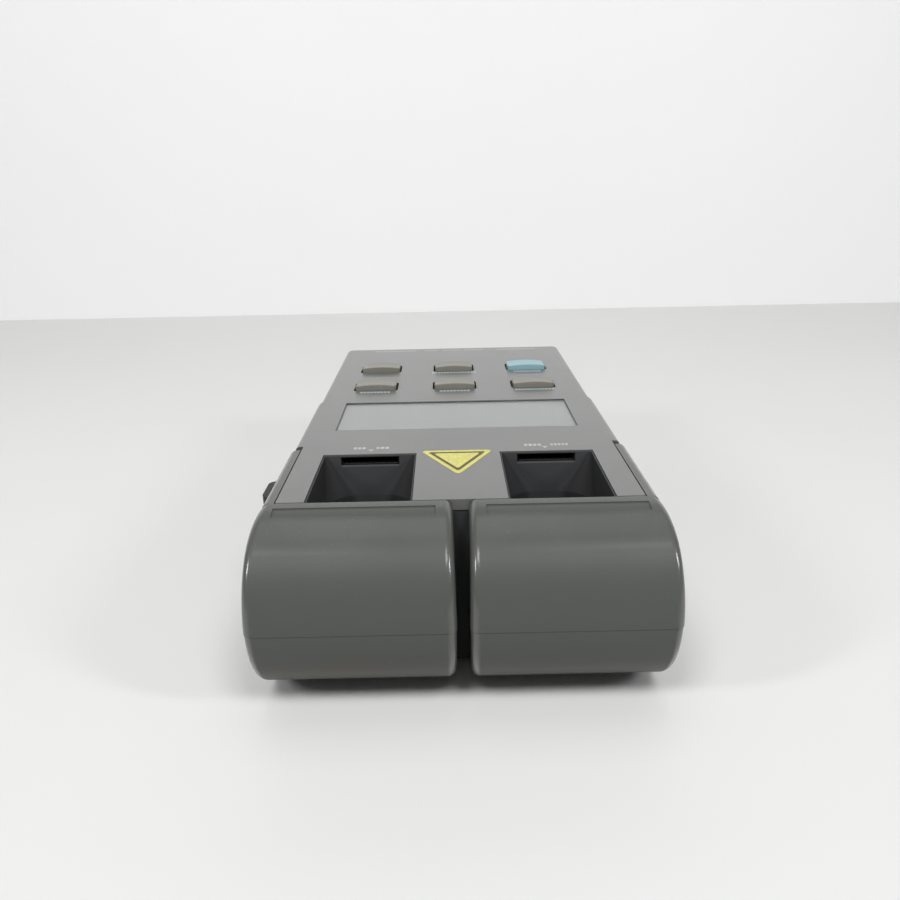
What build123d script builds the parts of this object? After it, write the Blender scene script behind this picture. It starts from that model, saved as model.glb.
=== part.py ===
from build123d import *
import os

# Hand-held optical power meter: a housing with two open plug-in bays under swing-up nose covers.
# X runs across, Y from the nose towards the keypad end and Z up from the table.
# While it is drawn, X = 0 is the housing's middle, Y = 0 the covers' rear edge and Z = 0 the table.
# All lengths are in millimetres.

# Overall sizes: the length is the sum of the nose, the bays, the display, the keys and these margins
nose_reach = 22.9
display_margin = 22.0
keypad_margin = 15.2
far_margin = 32.5
body_height = 47.0
foot_height = 1.2
wall = 2.2
overrun = 6.0
touching = 0.01

# Housing outline
front_half_width = 48.5
side_step = 0.7
step_margin = 0.5
step_length = 3.0
front_gap = 0.4
far_corner_radius = 3.0
top_edge_radius = 1.5
bottom_edge_radius = 3.5

# Room inside the housing, narrow between the arm recesses
narrow_end_gap = 8.1
narrow_taper = 2.5
lip_thickness = 1.0
lip_height = 1.5
lip_clearance = 0.15

# Nose covers, at the moulding line half way up
cover_overhang = 2.85
cover_half_gap = 1.5
cover_wall = 2.0
upper_outer_lean = 0.4
upper_inner_lean = 0.5
lower_outer_lean = 0.15
lower_inner_lean = 0.1
moulding_step = 0.12
rim_radius = 2.2
cover_widest_y = -18.0
cover_rear_inset = 1.55
grip_inner_inset = 4.7
grip_front_y = -6.0
grip_rear_y = -2.5
grip_depth = 0.35

# Cover arms and their pivots
arm_overhang = 0.9
arm_thickness = 3.1
arm_side_gap = 0.3
arm_edge_gap = 0.5
arm_end_radius = 4.5
arm_corner_radius = 2.5
arm_edge_radius = 1.8
arm_root_length = 7.0
pivot_setback = 1.9
swing_gap = 0.2
pivot_radius = 1.8
pivot_clearance = 0.05
pivot_head_radius = 3.0
pivot_head_height = 1.0
pivot_head_gap = 0.1
pivot_head_clearance = 0.2
pivot_seat_thickness = 1.9
pivot_thread_radius = 1.45
insert_radius = 2.4
insert_length = 4.6
pivot_boss_radius = 4.0
pivot_boss_length = 3.2

# Plug-in bays
bay_side_margin = 4.875
bay_width = 26.95
bay_length = 33.6
bay_depth = 30.0
front_lip_height = 3.0
front_lip_depth = 2.0
liner_wall = 0.9
liner_back = 1.2
liner_floor = 1.2
liner_clearance = 0.1
liner_sunk = 0.3
liner_rim = 0.4
liner_mouth_radius = 0.8
liner_corner_radius = 9.0
liner_corner_depth = 12.0
front_panel_gap = 0.2
front_panel_depth = 2.0
front_panel_clearance = 0.1
front_panel_lift = 0.3

# Slot in each bay's rear wall and the socket behind it
slot_width = 16.8
slot_height = 2.5
slot_drop = 0.7
slot_chamfer = 0.9
socket_side = 0.7
socket_length = 7.5
socket_skin = 0.6
socket_clearance = 0.15
socket_mouth_inset = 0.4
socket_mouth_depth = 6.0
contact_count = 9
contact_pitch = 1.8
contact_width = 0.7
contact_thickness = 0.3
contact_length = 5.0
contact_setback = 0.6

# Display
window_side_margin = 10.1
window_length = 29.9
window_recess = 0.35
window_thickness = 1.0
window_ledge = 2.0
window_clearance = 0.1
frame_overlap = 0.3
frame_bezel = 0.4
frame_wall = 1.1
glass_margin = 0.6
glass_thickness = 1.7
glass_clearance = 0.1
strip_width = 2.0
strip_inset = 3.0

# Keys
key_side_margin = 0.7
key_row_pitch = 26.8
key_hole_width = 16.4
key_hole_length = 10.6
key_hole_radius = 1.0
key_side_gap = 0.7
key_end_gap = 0.35
key_height = 2.0
key_front_rise = 0.55
key_dish_depth = 0.25
key_dish_radius = 45.0
key_crown_radius = 45.0
key_crown_arc = 30.0
key_corner_radius = 0.7
key_edge_radius = 0.3
key_flange_margin = 0.6
key_flange_thickness = 1.1
key_play = 0.1

# Key mat and boards
mat_sheet = 0.8
mat_dome_height = 1.8
mat_margin = 2.6
mat_dome_inset = 1.5
mat_dome_top_inset = 3.2
board_thickness = 1.6
board_side_margin = 5.5
board_front_margin = 6.3
board_near_gap = 0.8
board_step_gap = 1.5
board_far_margin = 9.0
board_boss_radius = 2.0
board_boss_inset = 2.1
board_rear_boss_gap = 5.0
board_middle_boss_gap = 12.4
board_screw_radius = 0.95
board_screw_head_radius = 1.9
board_screw_head_height = 1.3
board_pilot_radius = 1.0
chip_thickness = 1.6
memory_length = 20.0
memory_width = 8.0
processor_width = 16.0
regulator_width = 7.0
buzzer_radius = 7.0
buzzer_height = 4.5
buzzer_hole_radius = 1.2

# Case screws and their bosses
boss_radius = 4.2
screw_head_radius = 2.7
screw_head_height = 2.0
screw_head_clearance = 0.3
screw_radius = 1.45
screw_hole_radius = 1.7
pilot_radius = 1.5
screw_shelf = 10.0
screw_length = 22.0
pilot_length = 14.0
case_screw_inset = 6.1
front_screw_gap = 5.0
rear_screw_inset = 7.1
bay_screw_inset = 9.6
bay_shelf = 4.0
bay_boss_height = 6.5
bay_screw_length = 9.0

# Batteries, lying across the housing
cell_radius = 7.25
cell_length = 50.5
cell_nub_radius = 2.7
cell_nub_length = 1.0
cell_pitch = 15.2
cell_count = 4
cell_lift = 0.4
tray_side_gap = 1.0
tray_end_gap = 1.4
tray_wall = 1.6
tray_roof_gap = 0.9
tray_far_inset = 9.0
spring_plate = 0.4
spring_plate_width = 11.0
spring_dome_radius = 3.0

# Battery door and its grooves
door_gap = 0.2
door_flange = 1.8
door_flange_thickness = 1.0
door_groove_play = 0.15
door_grip_count = 5
door_grip_pitch = 2.4
door_grip_width = 1.1
door_grip_depth = 0.5
door_grip_half_length = 11.0
door_grip_inset = 9.0

# Feet and strap lug
foot_radius = 5.0
foot_pocket = 0.8
foot_clearance = 0.1
foot_inset = 10.5
front_foot_y = 14.0
rear_foot_inset = 21.0
lug_lead = 2.0
lug_drop = 10.3
lug_thickness = 4.0
lug_reach = 8.2
lug_tip_length = 10.0
lug_root_length = 19.0
lug_corner_radius = 2.0
lug_slot_length = 9.0
lug_slot_width = 4.3
lug_slot_offset = 2.1
lug_plate_length = 27.0
lug_plate_height = 9.5
lug_plate_thickness = 1.6
lug_screw_spacing = 20.0
lug_screw_radius = 1.2
lug_screw_head_radius = 1.9
lug_screw_head_height = 0.9
lug_screw_length = 5.0
lug_screw_lift = 2.8
lug_hole_clearance = 0.05

# Places that follow from the sizes above
window_near_y = bay_length + display_margin
window_far_y = window_near_y + window_length
key_near_y = window_far_y + keypad_margin
key_far_y = key_near_y + key_row_pitch + key_hole_length
far_y = key_far_y + far_margin
step_y = window_far_y + step_margin
front_y = front_gap
half_height = body_height / 2
floor_z = foot_height
mid_z = floor_z + half_height
top_z = floor_z + body_height
inner_floor_z = floor_z + wall
ceiling_z = top_z - wall
nose_radius = (half_height**2 + nose_reach**2) / (2 * nose_reach)
nose_centre_y = nose_radius - nose_reach
rear_half_width = front_half_width - side_step
cover_half_width = front_half_width + cover_overhang
cover_side_radius = (cover_widest_y**2 + cover_rear_inset**2) / (2 * cover_rear_inset)
arm_outer_x = front_half_width + arm_overhang
arm_inner_x = arm_outer_x - arm_thickness
recess_x = arm_inner_x - arm_side_gap
narrow_half_width = recess_x - wall
pivot_y = bay_length + pivot_setback
pivot_z = top_z - arm_end_radius
narrow_end_y = pivot_y + narrow_end_gap
arm_sweep_radius = half_height - 2 * arm_end_radius
grip_inner_x = cover_half_gap + grip_inner_inset
corner_offset = arm_end_radius - arm_corner_radius
diagonal_share = 0.5**0.5
swing_radius = corner_offset / diagonal_share + arm_corner_radius + swing_gap
bay_floor_z = top_z - bay_depth
bay_outer_x = narrow_half_width - bay_side_margin
bay_inner_x = bay_outer_x - bay_width
bay_centre_x = (bay_inner_x + bay_outer_x) / 2
liner_half_width = bay_width / 2 - liner_clearance
liner_rear_y = bay_length - liner_clearance
front_panel_y = front_y + front_panel_gap
front_panel_end_y = front_panel_y + front_panel_depth
board_top_z = ceiling_z - key_play - key_flange_thickness - mat_dome_height - mat_sheet
board_bottom_z = board_top_z - board_thickness
window_top_z = top_z - window_recess
window_bottom_z = window_top_z - window_thickness
window_half_width = front_half_width - window_side_margin
key_pitch_x = window_half_width - key_side_margin - key_hole_width / 2
key_columns = [-key_pitch_x, 0, key_pitch_x]
key_rows = [key_near_y + key_hole_length / 2, key_near_y + key_row_pitch + key_hole_length / 2]
key_flange_top_z = ceiling_z - key_play
key_bottom_z = key_flange_top_z - key_flange_thickness
mat_near_y = key_near_y - mat_margin
mat_far_y = key_far_y + mat_margin
case_screw_x = front_half_width - case_screw_inset
front_screw_y = narrow_end_y + front_screw_gap
bay_screw_y = bay_length - bay_screw_inset
board_half_width = front_half_width - board_side_margin
board_front_half_width = narrow_half_width - board_front_margin
board_boss_x = board_half_width - board_boss_inset
board_near_y = bay_length + board_near_gap
board_step_y = front_screw_y + boss_radius + board_step_gap
board_far_y = mat_far_y + board_far_margin
front_screws = [(-case_screw_x, front_screw_y), (case_screw_x, front_screw_y)]
rear_screw_x = case_screw_x - side_step
rear_screws = [(-rear_screw_x, far_y - rear_screw_inset), (rear_screw_x, far_y - rear_screw_inset)]
bay_screw_places = [(-bay_centre_x, bay_screw_y), (bay_centre_x, bay_screw_y)]
board_rear_boss_y = mat_far_y + board_rear_boss_gap
board_front_boss_y = (window_far_y + window_ledge + mat_near_y) / 2
board_bosses = [
    (0, bay_length + board_middle_boss_gap),
    (-board_boss_x, board_front_boss_y),
    (board_boss_x, board_front_boss_y),
    (-board_boss_x, board_rear_boss_y),
    (board_boss_x, board_rear_boss_y),
]
tray_half_width = cell_length / 2 + tray_side_gap
tray_far_y = far_y - tray_far_inset
tray_near_y = tray_far_y - (cell_count - 1) * cell_pitch - 2 * (cell_radius + tray_end_gap)
cell_rows = [tray_far_y - tray_end_gap - cell_radius - i * cell_pitch for i in range(cell_count)]
cell_z = inner_floor_z + cell_lift + cell_radius
tray_roof_z = cell_z + cell_radius + tray_roof_gap
door_half_width = tray_half_width + door_flange
screw_shelf_z = floor_z + screw_shelf
bay_shelf_z = floor_z + bay_shelf
bay_boss_top_z = floor_z + bay_boss_height
door_near_y = tray_near_y - door_flange
door_flange_z = inner_floor_z - door_flange_thickness
foot_x = front_half_width - foot_inset
feet = [
    (side * foot_x, y) for side in (-1, 1) for y in (front_foot_y, far_y - rear_foot_inset)
]
lug_centre_y = pivot_y - lug_lead
lug_top_z = top_z - lug_drop
lug_screw_z = lug_top_z - lug_plate_height + lug_screw_lift
lug_screw_places = [lug_centre_y + side * lug_screw_spacing / 2 for side in (-1, 1)]

# The model's origin is under the middle of its box, which the strap lug widens on the left
left_extent = front_half_width + lug_reach
middle_x = (cover_half_width - left_extent) / 2
middle_y = (far_y - nose_reach) / 2


def block(x0, x1, y0, y1, z0, z1):
    """A box between two corners."""
    return Pos((x0 + x1) / 2, (y0 + y1) / 2, (z0 + z1) / 2) * Box(x1 - x0, y1 - y0, z1 - z0)


def post(x, y, z0, z1, radius):
    """An upright round post or hole."""
    return Pos(x, y, (z0 + z1) / 2) * Cylinder(radius, z1 - z0)


def rod(y, z, x0, x1, radius):
    """A round rod or hole across the housing."""
    return Pos((x0 + x1) / 2, y, z) * Rot(0, 90, 0) * Cylinder(radius, abs(x1 - x0))


def plate(outline, z0, z1):
    """An outline drawn in X and Y, thickened from z0 to z1."""
    return extrude(Pos(0, 0, z0) * outline, z1 - z0)


def across(outline, x0, x1):
    """An outline drawn in Y and Z, thickened from x0 to x1."""
    return extrude(Pos(x0, 0, 0) * (Plane.YZ * outline), x1 - x0)


def on_side(solid, side):
    """The solid as drawn for the right side, or mirrored to the left."""
    return solid if side > 0 else mirror(solid, Plane.YZ)


def housing_outline():
    """The housing from above, with a small step where the keypad section begins."""
    right = [
        (front_half_width, front_y),
        (front_half_width, step_y),
        (rear_half_width, step_y + step_length),
        (rear_half_width, far_y),
    ]
    left = [(-x, y) for x, y in reversed(right)]
    outline = make_face(Polyline(*right, *left, close=True))
    return fillet(outline.vertices().group_by(Axis.Y)[-1], far_corner_radius)


def room_outline(grow=0):
    """The room inside the housing, open at the front, narrow between the arm recesses."""
    wide = front_half_width - wall + grow
    rear = rear_half_width - wall + grow
    narrow = narrow_half_width + grow
    right = [
        (narrow, front_y - overrun),
        (narrow, narrow_end_y),
        (wide, narrow_end_y + narrow_taper),
        (wide, step_y),
        (rear, step_y + step_length),
        (rear, far_y - wall + grow),
    ]
    left = [(-x, y) for x, y in reversed(right)]
    outline = make_face(Polyline(*right, *left, close=True))
    return fillet(outline.vertices().group_by(Axis.Y)[-1], far_corner_radius - wall + grow)


def arm_outline(gap=0):
    """The cover arm from the side: square-topped behind the pivot and swept down to the nose."""
    radius = arm_end_radius + gap
    sweep = arm_sweep_radius - gap
    low_z = pivot_z - radius
    front = [(gap, mid_z), (0, mid_z)] if gap else [(0, mid_z)]
    rear_y = pivot_y + radius
    around = radius * diagonal_share
    along = sweep * diagonal_share
    lines = [
        Polyline(*front, (0, top_z), (rear_y, top_z), (rear_y, pivot_z)),
        ThreePointArc((rear_y, pivot_z), (pivot_y + around, pivot_z - around), (pivot_y, low_z)),
        Line((pivot_y, low_z), (arm_sweep_radius, low_z)),
        ThreePointArc(
            (arm_sweep_radius, low_z), (arm_sweep_radius - along, mid_z + along), (gap, mid_z)
        ),
    ]
    return make_face(lines)


def arm_recess():
    """The space that the right arm fills and swings in, cut from the housing's side."""
    x0, x1 = recess_x, front_half_width + overrun
    seat = across(arm_outline(arm_edge_gap), x0, x1)
    swing = rod(pivot_y, pivot_z, x0, x1, swing_radius)
    notch = block(x0, x1, pivot_y, pivot_y + swing_radius, pivot_z, top_z)
    return seat + swing + notch


def cover_sides(inset, upper):
    """The space between a cover's flat inner side and its gently rounded outer side."""
    sign = 1 if upper else -1
    inner_lean = upper_inner_lean if upper else lower_inner_lean
    outer_lean = upper_outer_lean if upper else lower_outer_lean
    inner = cover_half_gap + inset
    radius = cover_side_radius - inset
    middle_z, reach = mid_z + sign * half_height / 2, half_height / 2 + overrun
    low, high = sorted((middle_z - reach, middle_z + reach))
    lean_at = {z: sign * (z - mid_z) / half_height for z in (low, high)}
    round_side = Cone(radius - outer_lean * lean_at[low], radius - outer_lean * lean_at[high], high - low)
    round_side = Pos(cover_half_width - cover_side_radius, cover_widest_y, middle_z) * round_side
    low_x, high_x = inner + inner_lean * lean_at[low], inner + inner_lean * lean_at[high]
    far_x = cover_half_width + overrun
    outline = make_face(Polyline((low_x, low), (far_x, low), (far_x, high), (high_x, high), close=True))
    return extrude(Plane.XZ * outline, far_y, both=True) & round_side


def on_drum(edge, radius):
    """True where an edge runs along the nose's round surface."""
    places = [edge @ 0.25, edge @ 0.5, edge @ 0.75]
    return all(
        abs(((p.Y - nose_centre_y) ** 2 + (p.Z - mid_z) ** 2) ** 0.5 - radius) < touching for p in places
    )


def nose_half(inset, rim, upper):
    """The round nose above or below the moulding line, drawn in by inset, with softened rims."""
    radius = nose_radius - inset
    solid = rod(nose_centre_y, mid_z, 0, cover_half_width + overrun, radius)
    solid &= cover_sides(inset, upper)
    if rim:
        rims = [e for e in solid.edges() if e.geom_type != GeomType.LINE and on_drum(e, radius)]
        solid = fillet(rims, rim)
    z0, z1 = (mid_z, top_z + overrun) if upper else (floor_z - overrun, mid_z)
    return solid & block(0, cover_half_width + overrun, -nose_radius - overrun, 0, z0, z1)


def cover(side):
    """A nose cover with its arm, in one moulding: a hollow round nose, open at the rear."""
    shell = nose_half(0, rim_radius, True) + nose_half(moulding_step, rim_radius, False)
    hollow = nose_half(cover_wall, 0, True)
    hollow += nose_half(cover_wall + moulding_step, 0, False)
    root = block(
        arm_inner_x, cover_half_width, -arm_root_length, 0, mid_z, top_z - arm_corner_radius
    )
    shell -= hollow - root
    arm = across(arm_outline(), arm_inner_x, arm_outer_x)
    corner = arm.edges().filter_by(Axis.X).sort_by(Axis.Y)[-2:].sort_by(Axis.Z)[-1]
    arm = fillet(corner, arm_corner_radius)
    outer_face = arm.faces().sort_by(Axis.X)[-1]
    edges = [e for e in outer_face.edges() if e.center().Y > arm_edge_radius]
    arm = fillet([e for e in edges if e.center().Z > mid_z + arm_edge_radius], arm_edge_radius)
    seat_x = arm_inner_x + pivot_seat_thickness
    arm -= rod(pivot_y, pivot_z, recess_x, seat_x, pivot_radius + pivot_clearance)
    head_room = pivot_head_radius + pivot_head_clearance
    arm -= rod(pivot_y, pivot_z, seat_x, cover_half_width + overrun, head_room)
    shell += arm
    band = rod(nose_centre_y, mid_z, grip_inner_x, recess_x, nose_radius + overrun)
    band -= rod(nose_centre_y, mid_z, grip_inner_x, recess_x, nose_radius - grip_depth)
    shell -= band & block(0, recess_x, grip_front_y, grip_rear_y, mid_z, top_z + overrun)
    return on_side(shell, side)


def pivot_screws():
    """Shoulder screws, from the arms' outer faces into the inserts in the housing's sides."""
    screws = []
    for side in (-1, 1):
        seat_x = arm_inner_x + pivot_seat_thickness + pivot_head_gap
        screw = rod(pivot_y, pivot_z, seat_x, seat_x + pivot_head_height, pivot_head_radius)
        screw += rod(pivot_y, pivot_z, recess_x, seat_x, pivot_radius)
        screw += rod(pivot_y, pivot_z, recess_x - insert_length, recess_x, pivot_thread_radius)
        screws.append(on_side(screw, side))
    return screws


def pivot_inserts():
    """Brass inserts, flush with the recesses' floors."""
    inserts = []
    for side in (-1, 1):
        insert = rod(pivot_y, pivot_z, recess_x - insert_length, recess_x, insert_radius)
        bore = pivot_thread_radius + pivot_clearance
        insert -= rod(pivot_y, pivot_z, recess_x - insert_length, recess_x, bore)
        inserts.append(on_side(insert, side))
    return inserts


def key_outline(x, y):
    """The outline of one key's opening."""
    return Pos(x, y) * RectangleRounded(key_hole_width, key_hole_length, key_hole_radius)


def socket_pocket():
    """Room for a bay socket under a thinned stretch of the right side's top wall."""
    half = slot_width / 2 + socket_side + socket_clearance
    y1 = bay_length + socket_length + socket_clearance
    return block(bay_centre_x - half, bay_centre_x + half, bay_length, y1, ceiling_z, top_z - socket_skin)


def lug_holes(radius):
    """Holes in the left side, or in the lug's plate, for the two lug screws."""
    x1 = front_half_width + lug_plate_thickness
    holes = [rod(y, lug_screw_z, x1 - lug_screw_length, x1, radius) for y in lug_screw_places]
    return mirror(holes[0] + holes[1], Plane.YZ)


def pivot_boss():
    """The boss inside the right side wall that holds the pivot's insert."""
    x1 = recess_x - wall
    boss = rod(pivot_y, pivot_z, x1 - pivot_boss_length, x1, pivot_boss_radius)
    return boss & block(0, front_half_width, 0, far_y, mid_z, ceiling_z)


def upper_case():
    """The housing's top half, with openings for the display, the keys and the two bays."""
    shell = plate(housing_outline(), mid_z, top_z)
    rim = shell.faces().sort_by(Axis.Z)[-1].edges().sort_by(Axis.Y)[1:]
    shell = fillet(rim, top_edge_radius)
    shell -= plate(room_outline(), mid_z - overrun, ceiling_z)
    groove_z = mid_z + lip_height + lip_clearance
    shell -= plate(room_outline(lip_thickness + lip_clearance), mid_z - overrun, groove_z)
    window_y = window_near_y + window_length / 2
    ledge = window_ledge + window_clearance
    window = Rectangle(2 * window_half_width, window_length)
    pocket = Rectangle(2 * (window_half_width + ledge), window_length + 2 * ledge)
    shell -= plate(Pos(0, window_y) * window, ceiling_z, top_z + overrun)
    shell -= plate(Pos(0, window_y) * pocket, ceiling_z - overrun, window_top_z)
    for x in key_columns:
        for y in key_rows:
            shell -= plate(key_outline(x, y), ceiling_z - overrun, top_z + overrun)
    for side in (-1, 1):
        bay = block(bay_inner_x, bay_outer_x, -overrun, bay_length, mid_z - overrun, top_z + overrun)
        shell -= on_side(bay, side)
        shell -= on_side(arm_recess(), side)
        shell -= on_side(socket_pocket(), side)
        shell += on_side(pivot_boss(), side)
        hole_radius = insert_radius + pivot_clearance
        hole = rod(pivot_y, pivot_z, recess_x - insert_length, recess_x, hole_radius)
        shell -= on_side(hole, side)
    shell -= lug_holes(lug_screw_radius + lug_hole_clearance)
    lip_z = top_z - front_lip_height
    lip_y = front_y + front_lip_depth
    shell += block(-bay_inner_x, bay_inner_x, front_y, lip_y, lip_z, ceiling_z)
    for side in (-1, 1):
        shell += on_side(block(bay_outer_x, recess_x, front_y, lip_y, lip_z, ceiling_z), side)
    for x, y in board_bosses:
        shell += post(x, y, board_top_z, ceiling_z, board_boss_radius)
        shell -= post(x, y, board_top_z, ceiling_z, board_pilot_radius)
    for x, y in front_screws + rear_screws:
        shell += post(x, y, mid_z, ceiling_z, boss_radius)
        shell -= post(x, y, mid_z, mid_z + pilot_length, pilot_radius)
    return shell


def lower_outer():
    """The outside of the housing's bottom half, with its lower edge rounded."""
    solid = plate(housing_outline(), floor_z, mid_z)
    rim = solid.faces().sort_by(Axis.Z)[0].edges().sort_by(Axis.Y)[1:]
    return fillet(rim, bottom_edge_radius)


def lower_case():
    """The housing's bottom half, with the battery tray, screw bosses and joint lip."""
    shell = lower_outer() - plate(room_outline(), inner_floor_z, mid_z + overrun)
    lip = plate(room_outline(lip_thickness) - room_outline(), mid_z, mid_z + lip_height)
    lip &= block(-front_half_width, front_half_width, front_y, far_y, floor_z, top_z)
    for x, y in front_screws + rear_screws:
        lip -= post(x, y, mid_z, mid_z + lip_height, boss_radius + lip_clearance)
    shell += lip
    tray_x = tray_half_width + tray_wall
    roof_z = tray_roof_z + tray_wall
    shell += block(-tray_x, tray_x, tray_near_y - tray_wall, tray_far_y + tray_wall, inner_floor_z, roof_z)
    ledge_x = door_half_width + tray_wall
    ledge_z = inner_floor_z + door_groove_play + tray_wall
    shell += block(-ledge_x, ledge_x, door_near_y - tray_wall, far_y - wall, inner_floor_z, ledge_z)
    under = floor_z - overrun
    beyond = far_y + overrun
    panel_room_y = front_panel_end_y + front_panel_clearance
    shell -= block(-narrow_half_width, narrow_half_width, -overrun, panel_room_y, under, inner_floor_z)
    shell -= block(-tray_half_width, tray_half_width, tray_near_y, tray_far_y, under, tray_roof_z)
    shell -= block(-tray_half_width, tray_half_width, tray_near_y, beyond, under, inner_floor_z)
    groove_low = door_flange_z - door_groove_play
    groove_high = inner_floor_z + door_groove_play
    shell -= block(-door_half_width, door_half_width, door_near_y, beyond, groove_low, groove_high)
    for x, y in front_screws + rear_screws:
        shell += post(x, y, inner_floor_z, mid_z, boss_radius)
        shell -= post(x, y, under, screw_shelf_z, screw_head_radius + screw_head_clearance)
        shell -= post(x, y, under, mid_z, screw_hole_radius)
    for x, y in bay_screw_places:
        shell += post(x, y, inner_floor_z, bay_boss_top_z, boss_radius)
        shell -= post(x, y, under, bay_shelf_z, screw_head_radius + screw_head_clearance)
        shell -= post(x, y, under, bay_boss_top_z, screw_hole_radius)
    for x, y in feet:
        shell -= post(x, y, under, floor_z + foot_pocket, foot_radius + foot_clearance)
    return shell


def well_outline(side_wall, rear_wall, radius):
    """The right bay's inside from above, between walls of the given thicknesses."""
    half = liner_half_width - side_wall
    y1 = liner_rear_y - rear_wall
    outline = Pos(bay_centre_x, (y1 - overrun) / 2) * Rectangle(2 * half, y1 + overrun)
    return fillet(outline.vertices().group_by(Axis.Y)[-1], radius)


def bay_well():
    """The open space of the right bay: square-cornered at the top and rounding off further down."""
    mouth_z = top_z - liner_sunk
    corner_z = mouth_z - liner_corner_depth
    mouth = well_outline(liner_rim, liner_rim, liner_mouth_radius)
    below = well_outline(liner_wall, liner_back, liner_corner_radius)
    well = loft([Pos(0, 0, corner_z) * below, Pos(0, 0, mouth_z) * mouth], ruled=True)
    return well + plate(below, bay_floor_z, corner_z)


def bay_slot():
    """The slot in the right bay's rear wall, with its lower edge chamfered."""
    y0, y1 = liner_rear_y - liner_back, liner_rear_y
    z0, z1 = top_z - slot_drop - slot_height, top_z - slot_drop
    x0, x1 = bay_centre_x - slot_width / 2, bay_centre_x + slot_width / 2
    corners = [(y0, z0 - slot_chamfer), (y0 - slot_chamfer, z0 - slot_chamfer), (y0 - slot_chamfer, z0)]
    slope = make_face(Polyline(*corners, (y0 + slot_chamfer, z0), close=True))
    return block(x0, x1, y0 - slot_chamfer, y1, z0, z1) + across(slope, x0, x1)


def bay_moulding():
    """The black lining of both bays, with the panel that closes the housing's front."""
    panel_x = narrow_half_width - front_panel_clearance
    panel_top_z = top_z - front_lip_height - front_panel_clearance
    panel_low_z = floor_z + front_panel_lift
    moulding = block(-panel_x, panel_x, front_panel_y, front_panel_end_y, panel_low_z, panel_top_z)
    for side in (-1, 1):
        trough = block(
            bay_centre_x - liner_half_width,
            bay_centre_x + liner_half_width,
            front_panel_y,
            liner_rear_y,
            bay_floor_z - liner_floor,
            top_z - liner_sunk,
        )
        moulding += on_side(trough, side)
        moulding -= on_side(bay_well(), side)
        moulding -= on_side(bay_slot(), side)
    for x, y in bay_screw_places:
        moulding += post(x, y, bay_boss_top_z, bay_floor_z - liner_floor, boss_radius)
        moulding -= post(x, y, bay_boss_top_z, bay_shelf_z + bay_screw_length, pilot_radius)
    return moulding


def bay_connector(side):
    """The socket behind a bay's slot, standing on the board."""
    half = slot_width / 2 + socket_side
    z1 = top_z - socket_skin - socket_clearance
    y0, y1 = bay_length, bay_length + socket_length
    socket = block(bay_centre_x - half, bay_centre_x + half, y0, y1, board_top_z, z1)
    half = slot_width / 2 - socket_mouth_inset
    low_z = top_z - slot_drop - slot_height + socket_mouth_inset
    high_z = top_z - slot_drop - socket_mouth_inset
    end_y = y0 + socket_mouth_depth
    socket -= block(bay_centre_x - half, bay_centre_x + half, y0, end_y, low_z, high_z)
    return on_side(socket, side)


def bay_contacts(side):
    """The blades that lie in a socket's mouth."""
    y0 = bay_length + contact_setback
    z0 = top_z - slot_drop - slot_height + socket_mouth_inset
    blades = []
    for i in range(contact_count):
        x = bay_centre_x + (i - (contact_count - 1) / 2) * contact_pitch
        x0, x1 = x - contact_width / 2, x + contact_width / 2
        blade = block(x0, x1, y0, y0 + contact_length, z0, z0 + contact_thickness)
        blades.append(on_side(blade, side))
    return blades


def window_plate(margin, z0, z1):
    """A plate in line with the display opening and larger by a margin all round."""
    outline = Rectangle(2 * (window_half_width + margin), window_length + 2 * margin)
    return plate(Pos(0, window_near_y + window_length / 2) * outline, z0, z1)


def lcd_window():
    """The clear window, seated on its ledge under the top wall."""
    return window_plate(window_ledge, window_bottom_z, window_top_z)


def lcd_frame():
    """The frame that stands on the board, holds the glass and presses up the window."""
    room = glass_margin + glass_clearance
    frame = window_plate(room + frame_wall, board_top_z, window_bottom_z)
    frame -= window_plate(room, board_top_z, window_bottom_z - frame_bezel)
    return frame - window_plate(-frame_overlap, board_top_z, window_bottom_z)


def lcd_panel():
    """The display glass, up against the frame's bezel."""
    z1 = window_bottom_z - frame_bezel
    return window_plate(glass_margin, z1 - glass_thickness, z1)


def lcd_contact_strips():
    """Two rubber strips between the board and the glass's long edges."""
    half = window_half_width - strip_inset
    z1 = window_bottom_z - frame_bezel - glass_thickness
    strips = []
    for y in (window_near_y, window_far_y - strip_width):
        strips.append(block(-half, half, y, y + strip_width, board_top_z, z1))
    return strips


def key_cap(x, y):
    """A key: a cap with a dished, crowned top, higher in front, and a flange under its opening."""
    width = key_hole_width - 2 * key_side_gap
    length = key_hole_length - 2 * key_end_gap
    dish_z = top_z + key_height - key_dish_depth
    outline = Pos(x, y) * RectangleRounded(width, length, key_corner_radius)
    cap = plate(outline, key_bottom_z, top_z + key_height + key_front_rise)
    reach = length / 2 + key_corner_radius
    edge_z = dish_z + key_dish_radius - (key_dish_radius**2 - reach**2) ** 0.5
    tilt = key_front_rise / length * reach
    near, rear = (-reach, edge_z + tilt), (reach, edge_z - tilt)
    below_z = top_z - key_crown_radius / 2
    dish = ThreePointArc(near, (0, dish_z), rear)
    sides = Polyline(rear, (reach, below_z), (-reach, below_z), near)
    turn_axis = Axis((0, 0, top_z - key_crown_radius), (0, 1, 0))
    form = revolve(Plane.YZ * make_face([dish, sides]), turn_axis, key_crown_arc)
    cap &= Pos(x, y, 0) * form.rotate(turn_axis, -key_crown_arc / 2)
    rim = [e for e in cap.edges() if e.bounding_box().min.Z > top_z + key_height / 4]
    cap = fillet(rim, key_edge_radius)
    width = key_hole_width + 2 * key_flange_margin
    length = key_hole_length + 2 * key_flange_margin
    return cap + plate(Pos(x, y) * Rectangle(width, length), key_bottom_z, key_flange_top_z)


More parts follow.
